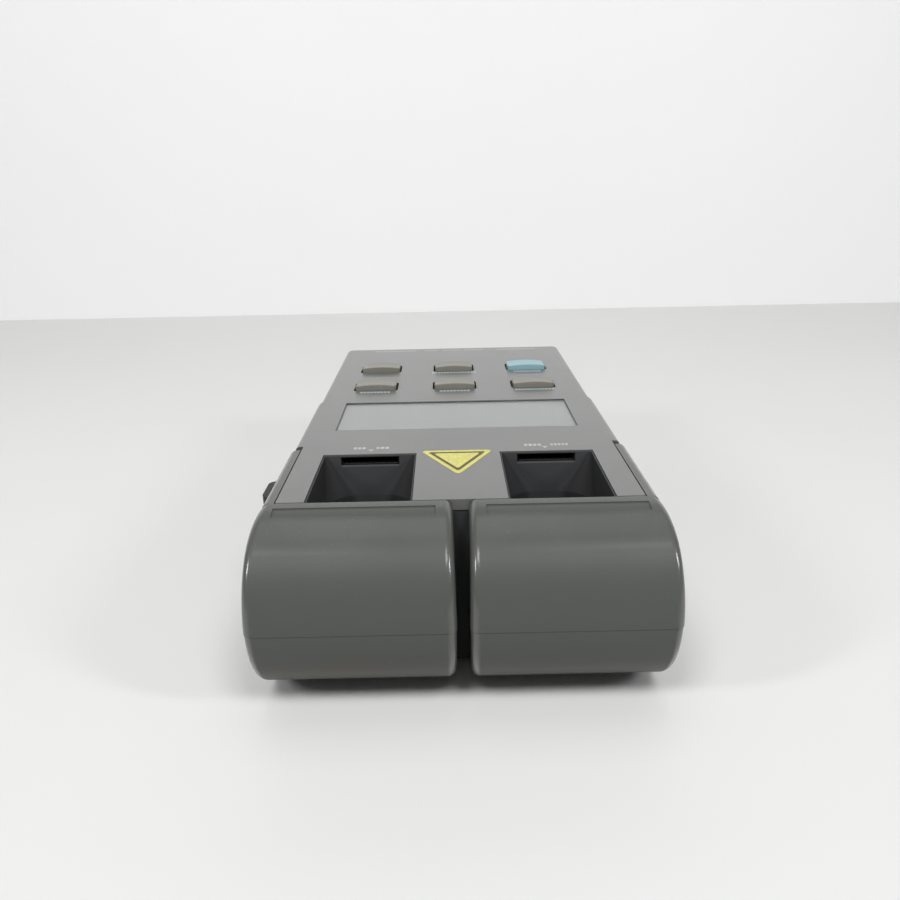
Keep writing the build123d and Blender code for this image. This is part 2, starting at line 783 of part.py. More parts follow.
def key_mat():
    """The rubber mat, a sheet with one dome under each key."""
    half = key_pitch_x + key_hole_width / 2 + key_side_gap
    mat = block(-half, half, mat_near_y, mat_far_y, board_top_z, board_top_z + mat_sheet)
    lean = mat_dome_top_inset - mat_dome_inset
    for x in key_columns:
        for y in key_rows:
            foot = Rectangle(key_hole_width - 2 * mat_dome_inset, key_hole_length - 2 * mat_dome_inset)
            tip_width = key_hole_width - 2 * mat_dome_top_inset
            tip_length = key_hole_length - 2 * mat_dome_top_inset
            tip = Rectangle(tip_width, tip_length)
            z0 = board_top_z + mat_sheet
            mat += loft([Pos(x, y, z0) * foot, Pos(x, y, z0 + mat_dome_height) * tip])
    return mat


def main_board():
    """The circuit board, narrower at the front between the pivots and screw bosses."""
    right = [
        (board_front_half_width, board_near_y),
        (board_front_half_width, board_step_y),
        (board_half_width, board_step_y),
        (board_half_width, board_far_y),
    ]
    left = [(-x, y) for x, y in reversed(right)]
    board = plate(make_face(Polyline(*right, *left, close=True)), board_bottom_z, board_top_z)
    for x, y in board_bosses:
        board -= post(x, y, board_bottom_z, board_top_z, board_pilot_radius)
    return board


def board_chips():
    """The chips on the board's underside."""
    z0, z1 = board_bottom_z - chip_thickness, board_bottom_z
    row_y = mat_near_y
    processor = processor_width / 2
    chips = [block(-processor, processor, row_y, row_y + processor_width, z0, z1)]
    for side in (-1, 1):
        x0 = processor_width
        memory = block(x0, x0 + memory_width, row_y, row_y + memory_length, z0, z1)
        chips.append(on_side(memory, side))
        y0 = window_near_y
        regulator = block(x0, x0 + regulator_width, y0, y0 + regulator_width, z0, z1)
        chips.append(on_side(regulator, side))
    return chips


def buzzer():
    """The sounder under the board, with its round sound hole."""
    y = board_far_y - buzzer_radius - board_rear_boss_gap
    z0 = board_bottom_z - buzzer_height
    return post(0, y, z0, board_bottom_z, buzzer_radius) - post(0, y, z0, z0 + wall, buzzer_hole_radius)


def board_screws():
    """Small screws from below, through the board into the upper case."""
    screws = []
    for x, y in board_bosses:
        head = post(x, y, board_bottom_z - board_screw_head_height, board_bottom_z, board_screw_head_radius)
        screws.append(head + post(x, y, board_bottom_z, ceiling_z - board_pilot_radius, board_screw_radius))
    return screws


def screws_from_below(places, shelf_z, length):
    """Screws whose heads sit under the shelf in their bosses."""
    screws = []
    for x, y in places:
        screw = post(x, y, shelf_z - screw_head_height, shelf_z, screw_head_radius)
        screws.append(screw + post(x, y, shelf_z, shelf_z + length, screw_radius))
    return screws


def batteries():
    """Four cells side by side across the tray, every second one turned round."""
    cells = []
    half = cell_length / 2
    for i, y in enumerate(cell_rows):
        cell = rod(y, cell_z, -half, half - cell_nub_length, cell_radius)
        cell += rod(y, cell_z, half - cell_nub_length, half, cell_nub_radius)
        cells.append(on_side(cell, 1 if i % 2 else -1))
    return cells


def battery_contacts(side):
    """Spring plates on one of the tray's side walls, each with a dome that meets its cell."""
    contacts = []
    plate_x = tray_half_width - spring_plate
    half = spring_plate_width / 2
    for y in cell_rows:
        contact = block(plate_x, tray_half_width, y - half, y + half, cell_z - half, cell_z + half)
        contact += rod(y, cell_z, cell_length / 2, plate_x, spring_dome_radius / 2)
        contacts.append(on_side(contact, side))
    return contacts


def battery_door():
    """The door in the underside, with side flanges in grooves and a ribbed grip."""
    x = tray_half_width - door_gap
    flange_x = door_half_width - door_gap
    door = block(-x, x, tray_near_y + door_gap, far_y, floor_z, inner_floor_z)
    door += block(-flange_x, flange_x, door_near_y + door_gap, far_y, door_flange_z, inner_floor_z)
    door &= lower_outer()
    for i in range(door_grip_count):
        y = tray_near_y + door_grip_inset + i * door_grip_pitch
        reach = door_grip_half_length
        door -= block(-reach, reach, y, y + door_grip_width, floor_z, floor_z + door_grip_depth)
    return door


def rubber_feet():
    """Round feet, pressed into pockets in the underside."""
    return [post(x, y, 0, floor_z + foot_pocket, foot_radius) for x, y in feet]


def strap_lug():
    """The black strap lug on the left side: a screwed plate with a slotted tab standing out."""
    tip_x = front_half_width + lug_reach
    root, tip = lug_root_length / 2, lug_tip_length / 2
    outline = make_face(
        Polyline(
            (front_half_width, lug_centre_y - root),
            (tip_x, lug_centre_y - tip),
            (tip_x, lug_centre_y + tip),
            (front_half_width, lug_centre_y + root),
            close=True,
        )
    )
    outline = fillet(outline.vertices().group_by(Axis.X)[-1], lug_corner_radius)
    slot_x = front_half_width + lug_slot_offset + lug_slot_width / 2
    slot = RectangleRounded(lug_slot_width, lug_slot_length, lug_slot_width / 2 - lug_hole_clearance)
    outline -= Pos(slot_x, lug_centre_y) * slot
    lug = plate(outline, lug_top_z - lug_thickness, lug_top_z)
    half = lug_plate_length / 2
    outer_x = front_half_width + lug_plate_thickness
    low_z = lug_top_z - lug_plate_height
    back = block(front_half_width, outer_x, lug_centre_y - half, lug_centre_y + half, low_z, lug_top_z)
    back = fillet(back.edges().filter_by(Axis.X), lug_corner_radius)
    lug = mirror(lug + back, Plane.YZ)
    return lug - lug_holes(lug_screw_radius + lug_hole_clearance)


def lug_screws():
    """The two screws through the lug's plate into the housing's left side."""
    screws = []
    x1 = front_half_width + lug_plate_thickness
    for y in lug_screw_places:
        screw = rod(y, lug_screw_z, x1, x1 + lug_screw_head_height, lug_screw_head_radius)
        screw += rod(y, lug_screw_z, x1 - lug_screw_length, x1, lug_screw_radius)
        screws.append(on_side(screw, -1))
    return screws


key_names = [
    ["front_left_key", "front_middle_key", "front_right_key"],
    ["rear_left_key", "rear_middle_key", "blue_key"],
]
pieces = {
    "upper_case": upper_case(),
    "lower_case": lower_case(),
    "bay_moulding": bay_moulding(),
    "left_cover": cover(-1),
    "right_cover": cover(1),
    "pivot_screws": pivot_screws(),
    "pivot_inserts": pivot_inserts(),
    "left_bay_connector": bay_connector(-1),
    "right_bay_connector": bay_connector(1),
    "left_bay_contacts": bay_contacts(-1),
    "right_bay_contacts": bay_contacts(1),
    "lcd_window": lcd_window(),
    "lcd_frame": lcd_frame(),
    "lcd_panel": lcd_panel(),
    "lcd_contact_strips": lcd_contact_strips(),
    "key_mat": key_mat(),
    "main_board": main_board(),
    "board_chips": board_chips(),
    "buzzer": buzzer(),
    "board_screws": board_screws(),
    "case_screws": screws_from_below(front_screws + rear_screws, screw_shelf_z, screw_length),
    "bay_screws": screws_from_below(bay_screw_places, bay_shelf_z, bay_screw_length - board_pilot_radius),
    "batteries": batteries(),
    "battery_contacts_left": battery_contacts(-1),
    "battery_contacts_right": battery_contacts(1),
    "battery_door": battery_door(),
    "rubber_feet": rubber_feet(),
    "strap_lug": strap_lug(),
    "lug_screws": lug_screws(),
}
for y, names in zip(key_rows, key_names):
    for x, name in zip(key_columns, names):
        pieces[name] = key_cap(x, y)

os.makedirs("parts", exist_ok=True)
for name, piece in pieces.items():
    solids = piece if isinstance(piece, list) else piece.solids()
    export_step(Pos(-middle_x, -middle_y, 0) * Compound(children=list(solids)), f"parts/{name}.step")
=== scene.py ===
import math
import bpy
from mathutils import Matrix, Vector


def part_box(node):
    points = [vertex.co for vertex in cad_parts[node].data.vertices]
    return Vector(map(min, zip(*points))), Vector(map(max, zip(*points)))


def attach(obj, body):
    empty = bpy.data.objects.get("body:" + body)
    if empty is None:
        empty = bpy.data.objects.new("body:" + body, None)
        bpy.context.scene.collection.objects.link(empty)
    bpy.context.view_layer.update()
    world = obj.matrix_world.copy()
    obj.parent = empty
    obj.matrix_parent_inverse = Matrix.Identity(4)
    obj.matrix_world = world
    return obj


bl_info = {
    "name": "Optical Power Meter",
    "version": (1, 0, 0),
    "blender": (4, 5, 0),
    "location": "View3D > Sidebar > Power Meter",
    "description": "Finishes, printing and a small studio for a hand-held optical power meter",
    "category": "Object",
}

from functools import partial

import bmesh
import bpy
from bpy.props import FloatProperty, FloatVectorProperty, PointerProperty
from mathutils import Matrix, Vector

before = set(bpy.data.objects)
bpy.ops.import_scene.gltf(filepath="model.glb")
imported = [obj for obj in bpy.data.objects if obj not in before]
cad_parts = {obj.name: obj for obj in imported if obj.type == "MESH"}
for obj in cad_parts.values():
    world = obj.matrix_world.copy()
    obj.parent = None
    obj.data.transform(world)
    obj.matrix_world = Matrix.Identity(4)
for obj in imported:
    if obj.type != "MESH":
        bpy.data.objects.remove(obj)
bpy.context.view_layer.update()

MM = 0.001

# The gap between the covers' rear edge and the housing's front
FRONT_GAP = 0.4 * MM

# Samples for the shade of an edge or a corner
SHADE_SAMPLES = 6

# Where most of a noise's values lie
NOISE_LOW, NOISE_HIGH = 0.3, 0.7

# The roughness of satin plastic and ink
SATIN = 0.5

# The brown smudge: its place across the left cover as a share of the width, how far it lies behind
# the cover's front and above its underside, and its spread across, inwards and upwards
SMUDGE_SHARE, SMUDGE_DEPTH, SMUDGE_LIFT = 0.40, 3.0 * MM, 11.0 * MM
SMUDGE_SPREAD_MM = (24.0, 12.0, 6.0)

# A grip band's distance from its cover's inner and outer side, its near and far edge before the
# covers' rear edge, and how far down from the cover's top it may reach
GRIP_INNER, GRIP_OUTER = 4.7 * MM, 5.6 * MM
GRIP_NEAR, GRIP_FAR, GRIP_DROP = 6.0 * MM, 2.5 * MM, 8.0 * MM

# The printed words in millimetres: where each starts and ends, and how far back each row lies
BAY_WORDS = ((-30.7, -27.2), (-24.0, -20.3), (19.6, 24.6), (27.4, 32.5))
TITLE_WORDS = ((-34.6, -16.6), (-12.5, -6.6), (-4.4, 2.8), (5.4, 13.7), (20.0, 37.0))
BAY_WORDS_Y, TITLE_Y = 38.6, 165.6

# The small arrows between the bays' words, in millimetres: the middles, the tips and the size
ARROWS_X, ARROW_TIP_Y = (-25.4, 25.5), 35.7
ARROW_HALF, ARROW_DEPTH = 0.9, 1.6

# The words at the keys, as shares of each key's width, and their gaps from the keys
NEAR_WORDS = {
    "front_left_key": 0.62, "front_middle_key": 0.62, "front_right_key": 0.82,
    "rear_middle_key": 1.0, "blue_key": 0.60,
}
FAR_WORDS = {"front_left_key": 0.72, "front_right_key": 0.62, "rear_middle_key": 0.3}
NEAR_GAP, FAR_GAP = 1.5 * MM, 7.2 * MM

# The sticker's corners in millimetres
STICKER_CORNERS = ((-10.9, 35.1), (-0.2, 16.4), (10.2, 35.1))

# What the lights look at, low on the nose and low in the part's middle, and their sizes
NOSE_TARGET, MIDDLE_TARGET = (0, -0.08, 0.02), (0, 0, 0.02)
MAIN_LIGHT_SIZE, SIDE_LIGHT_SIZE, TOP_LIGHT_SIZE = (0.32, 0.34), (0.08, 0.20), (0.6, 0.5)

# Where printing is measured from: the housing's middle, the covers' rear edge and the top face
middle_x = (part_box("left_cover")[0].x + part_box("right_cover")[1].x) / 2
front_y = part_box("upper_case")[0].y - FRONT_GAP
top_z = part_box("upper_case")[1].z


def setting(name, value, description, kind=FloatProperty, **limits):
    """A setting that the user can change."""
    return kind(name=name, description=description, default=value, **limits)


def angle_prop(name, degrees, description):
    """An angle, given here in degrees."""
    return setting(name, math.radians(degrees), description, subtype="ANGLE")


# The other kinds of setting: a linear colour, a place in metres, a share or strength from nothing
# up, a length in metres and a light's power in watts
color_prop = partial(setting, kind=FloatVectorProperty, subtype="COLOR", size=3, min=0, max=1)
place_prop = partial(
    setting, kind=FloatVectorProperty, subtype="TRANSLATION", unit="LENGTH", size=3
)
share_prop = partial(setting, subtype="FACTOR", min=0, soft_max=1.0)
length_prop = partial(setting, unit="LENGTH", min=0, precision=5)
power_prop = partial(setting, unit="POWER", min=0)


class PlasticSettings(bpy.types.PropertyGroup):
    """The moulded parts' colours and skins."""

    case_color: color_prop("Case", (0.112, 0.116, 0.111), "Grey of the two housing halves")
    cover_color: color_prop("Covers", (0.085, 0.089, 0.084), "Grey of the two nose covers")
    grip_color: color_prop("Grip bands", (0.086, 0.090, 0.085), "Band across each nose cover")
    bay_color: color_prop("Bays", (0.066, 0.067, 0.070), "Charcoal of the bays' lining")
    # Near-black for the bay moulding's front: black plastic, darkened further as painted shade in
    # the gap between the covers
    panel_color: color_prop("Front panel", (0.004, 0.004, 0.0045), "Black behind the covers")
    socket_color: color_prop("Sockets", (0.006, 0.006, 0.006), "Black of the bays' sockets")
    lug_color: color_prop("Strap lug", (0.006, 0.006, 0.006), "Black of the strap lug")
    foot_color: color_prop("Feet", (0.014, 0.014, 0.014), "Black of the rubber feet")
    case_roughness: share_prop("Case roughness", 0.34, "How matt the housing is")
    case_polish: share_prop("Case polish", 0.75, "Strength of the sheen on the housing")
    polish_roughness: share_prop("Polish roughness", 0.34, "How matt the housing's handled skin is")
    cover_roughness: share_prop("Cover roughness", 0.42, "How matt the round of the nose covers is")
    cover_gloss: share_prop("Cover gloss", 0.18, "Strength of the covers' reflections")
    rim_roughness: share_prop("Rim roughness", 0.17, "How matt the covers' rims are")
    flat_polish: share_prop("Flat polish", 0.6, "Strength of the sheen on the covers' flat faces")
    bay_roughness: share_prop("Bay roughness", 0.58, "How matt the bays' lining is")
    bay_gloss: share_prop("Bay gloss", 0.1, "Strength of the lining's reflections")
    # Painted shade: the share of their colour that the bays' side walls keep
    bay_painted_side_shade: share_prop("Bay sides", 0.52, "How light the lining's sides are")
    grain_size: length_prop("Grain size", 0.45 * MM, "Width of one bump in the moulded skin")
    grain_depth: length_prop("Grain depth", 0.006 * MM, "Height of the bumps in the moulded skin")
    edge_radius: length_prop("Edge radius", 0.25 * MM, "Radius that softens the moulded edges")


class WearSettings(bpy.types.PropertyGroup):
    """What years of use left on the housing, and the darkening of its corners."""

    edge_wear: share_prop("Edge wear", 0.15, "How much the edges are rubbed lighter")
    dust: share_prop("Dust", 0.14, "How much dust lies on faces that look up")
    darkening: share_prop("Grime", 0.22, "How much dirt sits in the corners")
    # Darkens corners and seams by how enclosed they are
    scuffs: share_prop("Scuffs", 0.40, "How many fine scuffs there are")
    smudge: share_prop("Smudge", 0.55, "Strength of the brown smudge low on the left cover")
    dust_color: color_prop("Dust colour", (0.40, 0.39, 0.36), "Colour of the dust")
    # The colour that corners and seams are darkened towards
    darkening_color: color_prop("Grime colour", (0.045, 0.038, 0.028), "Colour of the dirt in corners")
    smudge_color: color_prop("Smudge colour", (0.100, 0.084, 0.058), "Colour of the brown smudge")


class DisplaySettings(bpy.types.PropertyGroup):
    """The window and the display glass."""

    panel_color: color_prop("Display", (0.088, 0.093, 0.090), "Grey of the blank display")
    frame_color: color_prop("Frame", (0.09, 0.09, 0.09), "Black of the display's frame")
    strip_color: color_prop("Strips", (0.05, 0.05, 0.05), "Black of the rubber contact strips")
    panel_roughness: share_prop("Display roughness", 0.32, "How matt the display glass is")


class KeySettings(bpy.types.PropertyGroup):
    """The six keys."""

    key_color: color_prop("Keys", (0.222, 0.215, 0.184), "Warm grey of five keys")
    blue_color: color_prop("Blue key", (0.28, 0.46, 0.50), "Colour of the sixth key")
    mat_color: color_prop("Key mat", (0.32, 0.33, 0.32), "Grey of the rubber mat under the keys")
    key_roughness: share_prop("Key roughness", 0.38, "How matt the keys are")


class PrintSettings(bpy.types.PropertyGroup):
    """Printed bars in place of words, and the triangular sticker."""

    ink_color: color_prop("Ink", (0.55, 0.555, 0.53), "White ink")
    faded_color: color_prop("Faded ink", (0.36, 0.35, 0.33), "Ink behind the keys")
    cyan_color: color_prop("Second ink", (0.46, 0.56, 0.59), "Pale blue ink")
    sticker_color: color_prop("Sticker", (0.70, 0.66, 0.185), "Yellow of the sticker")
    keyline_color: color_prop("Keyline", (0.105, 0.085, 0.03), "Olive-brown line in the sticker")
    ink_height: length_prop("Ink height", 0.02 * MM, "How far the ink stands off the housing")
    letter_height: length_prop("Bar height", 1.7 * MM, "Height of a printed bar")
    letter_width: length_prop("Bar width", 0.85 * MM, "Width of one block of a printed bar")
    letter_gap: length_prop("Bar gap", 0.36 * MM, "Gap between two blocks of a printed bar")
    sticker_height: length_prop("Sticker height", 0.08 * MM, "Thickness of the sticker")
    sticker_corner: length_prop("Sticker corner", 1.0 * MM, "Radius of the sticker's corners")
    sticker_margin: length_prop("Keyline inset", 1.25 * MM, "Distance of the keyline from the edge")
    keyline_width: length_prop("Keyline width", 1.0 * MM, "Width of the sticker's keyline")


class MetalSettings(bpy.types.PropertyGroup):
    """Screws, inserts, contacts and cells."""

    steel_color: color_prop("Steel", (0.45, 0.45, 0.46), "Zinc-plated screws")
    dark_steel_color: color_prop("Dark steel", (0.07, 0.07, 0.07), "Blackened screws")
    brass_color: color_prop("Brass", (0.55, 0.42, 0.20), "Turned inserts")
    contact_color: color_prop("Contacts", (0.05, 0.05, 0.05), "Tarnished contact blades")
    nickel_color: color_prop("Nickel", (0.60, 0.60, 0.58), "Battery contacts")


class StageSettings(bpy.types.PropertyGroup):
    """Floor, backdrop, lights and the camera."""

    camera_place: place_prop("Camera", (0.000045, -0.24535, 0.12494), "Where the camera stands")
    pitch: angle_prop("Pitch", 20.33, "How far the camera looks down")
    yaw: angle_prop("Yaw", 0.09, "How far the camera looks to the right")
    roll: angle_prop("Roll", 1.155, "How far the camera leans")
    lens: setting("Lens", 30.28, "Focal length on a 36 mm sensor", unit="CAMERA")
    floor_color: color_prop("Floor", (0.74, 0.74, 0.735), "Colour of the table")
    wall_color: color_prop("Wall", (0.55, 0.55, 0.55), "Colour of the backdrop")
    room_color: color_prop("Room", (0.72, 0.72, 0.715), "Pale grey seen beyond the table")
    table_reach: length_prop("Table width", 1.2, "Half of the table's width")
    table_front: length_prop("Table front", 0.8, "Distance from the part to the table's near edge")
    wall_distance: length_prop("Wall", 0.467, "Distance from the part to the backdrop")
    wall_height: length_prop("Wall height", 0.6, "Height of the backdrop")
    board: length_prop("Board", 0.02, "Thickness of the table and the backdrop")
    wall_glow: share_prop("Wall glow", 0.36, "Light that comes through the backdrop", soft_max=2.0)
    room_light: share_prop("Room light", 0.13, "Brightness of light from all round", soft_max=2.0)
    main_place: place_prop("Main lights", (0.31, -0.61, 1.0), "Place of the right main light")
    side_place: place_prop("Side lights", (0.66, -0.37, 0.49), "Place of the right side light")
    top_place: place_prop("Overhead light", (0, 0.10, 0.95), "Place of the overhead light")
    main_power: power_prop("Main power", 9.1, "Power of the two main lights together")
    side_power: power_prop("Side power", 1.8, "Power of each small side light")
    top_power: power_prop("Overhead power", 1.25, "Power of the broad light overhead")


def feed(socket, value):
    """Links an input to another socket, or sets it to a plain value."""
    if isinstance(value, bpy.types.NodeSocket):
        socket.id_data.links.new(value, socket)
    else:
        socket.default_value = value


def feed_all(sockets, **values):
    """Feeds several inputs. Underscores in a value's name stand for spaces."""
    for key, value in values.items():
        feed(sockets[key.replace("_", " ")], value)


def put(tree, kind, inputs=None, **attributes):
    """Adds a shader node of a kind, with values or links for its inputs."""
    made = tree.nodes.new(f"ShaderNode{kind}")
    for name, value in attributes.items():
        setattr(made, name, value)
    for key, value in (inputs or {}).items():
        feed(made.inputs[key], value)
    return made


def maths(tree, operation, *values, clamp=False):
    """A Math node's output."""
    return put(
        tree, "Math", dict(enumerate(values)), operation=operation, use_clamp=clamp
    ).outputs[0]


def vectors(tree, operation, *values, output=0):
    """A Vector Math node's output."""
    inputs = dict(enumerate(values))
    return put(tree, "VectorMath", inputs, operation=operation).outputs[output]


def scaled(tree, vector, factor):
    """A vector or a colour times a factor."""
    return put(
        tree, "VectorMath", {0: vector, "Scale": factor}, operation="SCALE"
    ).outputs[0]


def ramp(tree, value, low, high, out_low=0.0, out_high=1.0):
    """A value spread from one range to another, and kept inside it."""
    inputs = {
        "Value": value, "From Min": low, "From Max": high, "To Min": out_low, "To Max": out_high,
    }
    return put(tree, "MapRange", inputs).outputs["Result"]


def spread_noise(tree, noise, out_low, out_high):
    """A noise spread from where most of its values lie over a new range."""
    return ramp(tree, noise, NOISE_LOW, NOISE_HIGH, out_low, out_high)


def blended(tree, factor, first, second):
    """Two colours mixed by a mask."""
    mix = put(tree, "Mix", data_type="RGBA", blend_type="MIX")
    sockets = [s for s in mix.inputs if s.enabled]
    for socket, value in zip(sockets, (factor, first, second)):
        feed(socket, value)
    return [s for s in mix.outputs if s.enabled][0]


def by_ray(tree, ray, usual, other, output):
    """Puts out a usual shader, and another one for one kind of ray."""
    path = put(tree, "LightPath").outputs[ray]
    mix = put(tree, "MixShader", {0: path, 1: usual.outputs[0], 2: other.outputs[0]})
    feed(tree.nodes[output].inputs["Surface"], mix.outputs[0])


def noise_value(tree, scale, detail=3.0, place=None, stretch=(1, 1, 1)):
    """Noise with a scale in bumps to the millimetre, on the part unless a place is given."""
    if place is None:
        place = millimetres(tree)
    inputs = {"Vector": vectors(tree, "MULTIPLY", place, stretch), "Scale": scale, "Detail": detail}
    return put(tree, "TexNoise", inputs).outputs["Fac"]


def millimetres(tree):
    """The place on the part in millimetres."""
    return scaled(tree, put(tree, "TexCoord").outputs["Object"], 1 / MM)


def facing(tree):
    """The X, Y and Z of a face's direction on the part."""
    normal = put(tree, "TexCoord").outputs["Normal"]
    return put(tree, "SeparateXYZ", {0: normal}).outputs


def softened(tree, radius):
    """The direction of a face whose edges are softened by a radius."""
    bevel = put(tree, "Bevel", {"Radius": radius}, samples=SHADE_SAMPLES)
    return bevel.outputs["Normal"]


def effect_group(name, inputs, outputs):
    """A node group with named sockets, with what it is given and what it puts out."""
    tree = bpy.data.node_groups.new(name, "ShaderNodeTree")
    kinds = {"color": "NodeSocketColor", "value": "NodeSocketFloat", "vector": "NodeSocketVector"}
    for label, (kind, default) in inputs.items():
        socket = tree.interface.new_socket(name=label, in_out="INPUT", socket_type=kinds[kind])
        socket.default_value = default
    for label, kind in outputs.items():
        tree.interface.new_socket(name=label, in_out="OUTPUT", socket_type=kinds[kind])
    given = tree.nodes.new("NodeGroupInput").outputs
    return tree, given, tree.nodes.new("NodeGroupOutput").inputs


def put_out_mask(tree, given, result, first, second):
    """Puts out the product of two masks, in the amount given."""
    both = maths(tree, "MULTIPLY", first, second)
    feed(result["Mask"], maths(tree, "MULTIPLY", both, given["Amount"], clamp=True))


def moulded_skin_group():
    """The mottled colour, gloss and fine texture of moulded plastic."""
    tree, given, result = effect_group(
        "Moulded Skin",
        {
            "Color": ("color", (0.2, 0.2, 0.2, 1)),
            "Mottle": ("value", 0.1),
            "Mottle Size": ("value", 25.0),
            "Roughness": ("value", 0.4),
            "Roughness Spread": ("value", 0.08),
            "Grain Size": ("value", 0.45),
        },
        {"Color": "color", "Roughness": "value", "Height": "value"},
    )
    speckle_fineness, speckle_share, gloss_fineness = 0.6, 0.3, 2.2
    mean_noise = 0.5
    mean_shade = mean_noise * (1 + speckle_share)
    mottle, grain = given["Mottle Size"], given["Grain Size"]
    patches = noise_value(tree, maths(tree, "DIVIDE", 1.0, mottle), detail=4.0)
    fine = maths(tree, "DIVIDE", speckle_fineness, grain)
    speckle = maths(tree, "MULTIPLY", noise_value(tree, fine, detail=1.0), speckle_share)
    shade = maths(tree, "SUBTRACT", maths(tree, "ADD", patches, speckle), mean_shade)
    change = maths(tree, "MULTIPLY_ADD", shade, given["Mottle"], 1.0)
    finer = maths(tree, "DIVIDE", gloss_fineness, mottle)
    spread = maths(tree, "SUBTRACT", noise_value(tree, finer, detail=5.0), mean_noise)
    gloss = maths(tree, "MULTIPLY_ADD", spread, given["Roughness Spread"], given["Roughness"])
    bumps = noise_value(tree, maths(tree, "DIVIDE", 1.0, grain), detail=2.0)
    shown = scaled(tree, given["Color"], change)
    feed_all(result, Color=shown, Roughness=gloss, Height=bumps)
    return tree


def worn_edge_group():
    """A mask of the edges that hands and pockets rub."""
    tree, given, result = effect_group(
        "Worn Edge", {"Radius": ("value", 0.5 * MM), "Amount": ("value", 0.5)}, {"Mask": "value"}
    )
    straight, bent = 0.995, 0.86
    kept, rubbed = 0.38, 0.66
    rounded_off = softened(tree, given["Radius"])
    flat = put(tree, "NewGeometry").outputs["Normal"]
    likeness = vectors(tree, "DOT_PRODUCT", rounded_off, flat, output="Value")
    edge = ramp(tree, likeness, straight, bent)
    patches = noise_value(tree, scale=0.35, detail=5.0)
    put_out_mask(tree, given, result, edge, ramp(tree, patches, kept, rubbed))
    return tree


def settled_dust_group():
    """A mask of thin dust on the faces that look up."""
    tree, given, result = effect_group(
        "Settled Dust", {"Amount": ("value", 0.2)}, {"Mask": "value"}
    )
    steep, level = 0.45, 0.98
    bare, covered, film_share = 0.35, 0.75, 0.45
    speck_edge, speck_core, speck_strength = 0.70, 0.76, 1.4
    upward = ramp(tree, facing(tree)["Z"], steep, level)
    film = ramp(tree, noise_value(tree, scale=0.055, detail=6.0), bare, covered)
    dots = noise_value(tree, scale=1.6, detail=1.0)
    specks = ramp(tree, dots, speck_edge, speck_core, 0.0, speck_strength)
    lying = maths(tree, "MULTIPLY_ADD", film, film_share, maths(tree, "MULTIPLY", specks, film))
    put_out_mask(tree, given, result, lying, upward)
    return tree


def corner_darkening_group():
    """A mask of corners and seams, stronger the more enclosed they are, in uneven patches."""
    tree, given, result = effect_group(
        "Corner Darkening",
        {"Reach": ("value", 1.5 * MM), "Amount": ("value", 0.5)},
        {"Mask": "value"},
    )
    shallow, deep = 0.92, 0.45
    unmarked, fullest, least = 0.30, 0.62, 0.25
    open_share = put(
        tree, "AmbientOcclusion", {"Distance": given["Reach"]}, samples=SHADE_SAMPLES,
        only_local=True,
    ).outputs["AO"]
    corner = ramp(tree, open_share, shallow, deep)
    patches = noise_value(tree, scale=0.22, detail=5.0)
    put_out_mask(tree, given, result, corner, ramp(tree, patches, unmarked, fullest, least))
    return tree


def fine_scuffs_group():
    """A mask of thin scratches that run mostly one way."""
    tree, given, result = effect_group(
        "Fine Scuffs",
        {"Amount": ("value", 0.5), "Turn": ("vector", (0, 0, 0)), "Size": ("value", 12.0)},
        {"Mask": "value"},
    )
    lines_per_patch, lengthened = 20.0, (0.05, 1, 1)
    line_edge, line_core = 0.73, 0.79
    untouched, scratched = 0.50, 0.62
    turned = put(
        tree, "VectorRotate", {"Vector": millimetres(tree), "Rotation": given["Turn"]},
        rotation_type="EULER_XYZ",
    ).outputs[0]
    scale = maths(tree, "DIVIDE", 1.0, given["Size"])
    close = maths(tree, "MULTIPLY", scale, lines_per_patch)
    lines = noise_value(tree, close, detail=1.0, place=turned, stretch=lengthened)
    thin = ramp(tree, lines, line_edge, line_core)
    where = ramp(tree, noise_value(tree, scale, place=turned), untouched, scratched)
    put_out_mask(tree, given, result, thin, where)
    return tree


def smudge_group():
    """A mask of one uneven smudge round a place on the part."""
    tree, given, result = effect_group(
        "Smudge",
        {
            "Centre": ("vector", (0, 0, 0)),
            "Spread": ("vector", (10, 10, 10)),
            "Amount": ("value", 0.5),
        },
        {"Mask": "value"},
    )
    raggedness, mean_noise, heart = 1.6, 0.5, 0.35
    pale, dark, least = 0.36, 0.62, 0.35
    away = vectors(tree, "SUBTRACT", millimetres(tree), given["Centre"])
    distance = vectors(
        tree, "LENGTH", vectors(tree, "DIVIDE", away, given["Spread"]), output="Value"
    )
    ragged = maths(tree, "SUBTRACT", noise_value(tree, scale=0.12, detail=6.0), mean_noise)
    blurred = maths(tree, "MULTIPLY_ADD", ragged, raggedness, distance)
    blotches = noise_value(tree, scale=0.55, detail=5.0)
    blotted = ramp(tree, blotches, pale, dark, least)
    put_out_mask(tree, given, result, ramp(tree, blurred, 1.0, heart), blotted)
    return tree


def colour_zone_group():
    """A mask of what lies inside a box round a middle, in millimetres, with crisp edges."""
    tree, given, result = effect_group(
        "Colour Zone",
        {"Middle": ("vector", (0, 0, 0)), "Half Size": ("vector", (1, 1, 1))},
        {"Mask": "value"},
    )
    away = vectors(tree, "SUBTRACT", millimetres(tree), given["Middle"])
    spare = vectors(tree, "SUBTRACT", given["Half Size"], vectors(tree, "ABSOLUTE", away))
    parts = put(tree, "SeparateXYZ", {0: spare}).outputs
    least = maths(tree, "MINIMUM", maths(tree, "MINIMUM", parts["X"], parts["Y"]), parts["Z"])
    feed(result["Mask"], maths(tree, "GREATER_THAN", least, 0.0))
    return tree


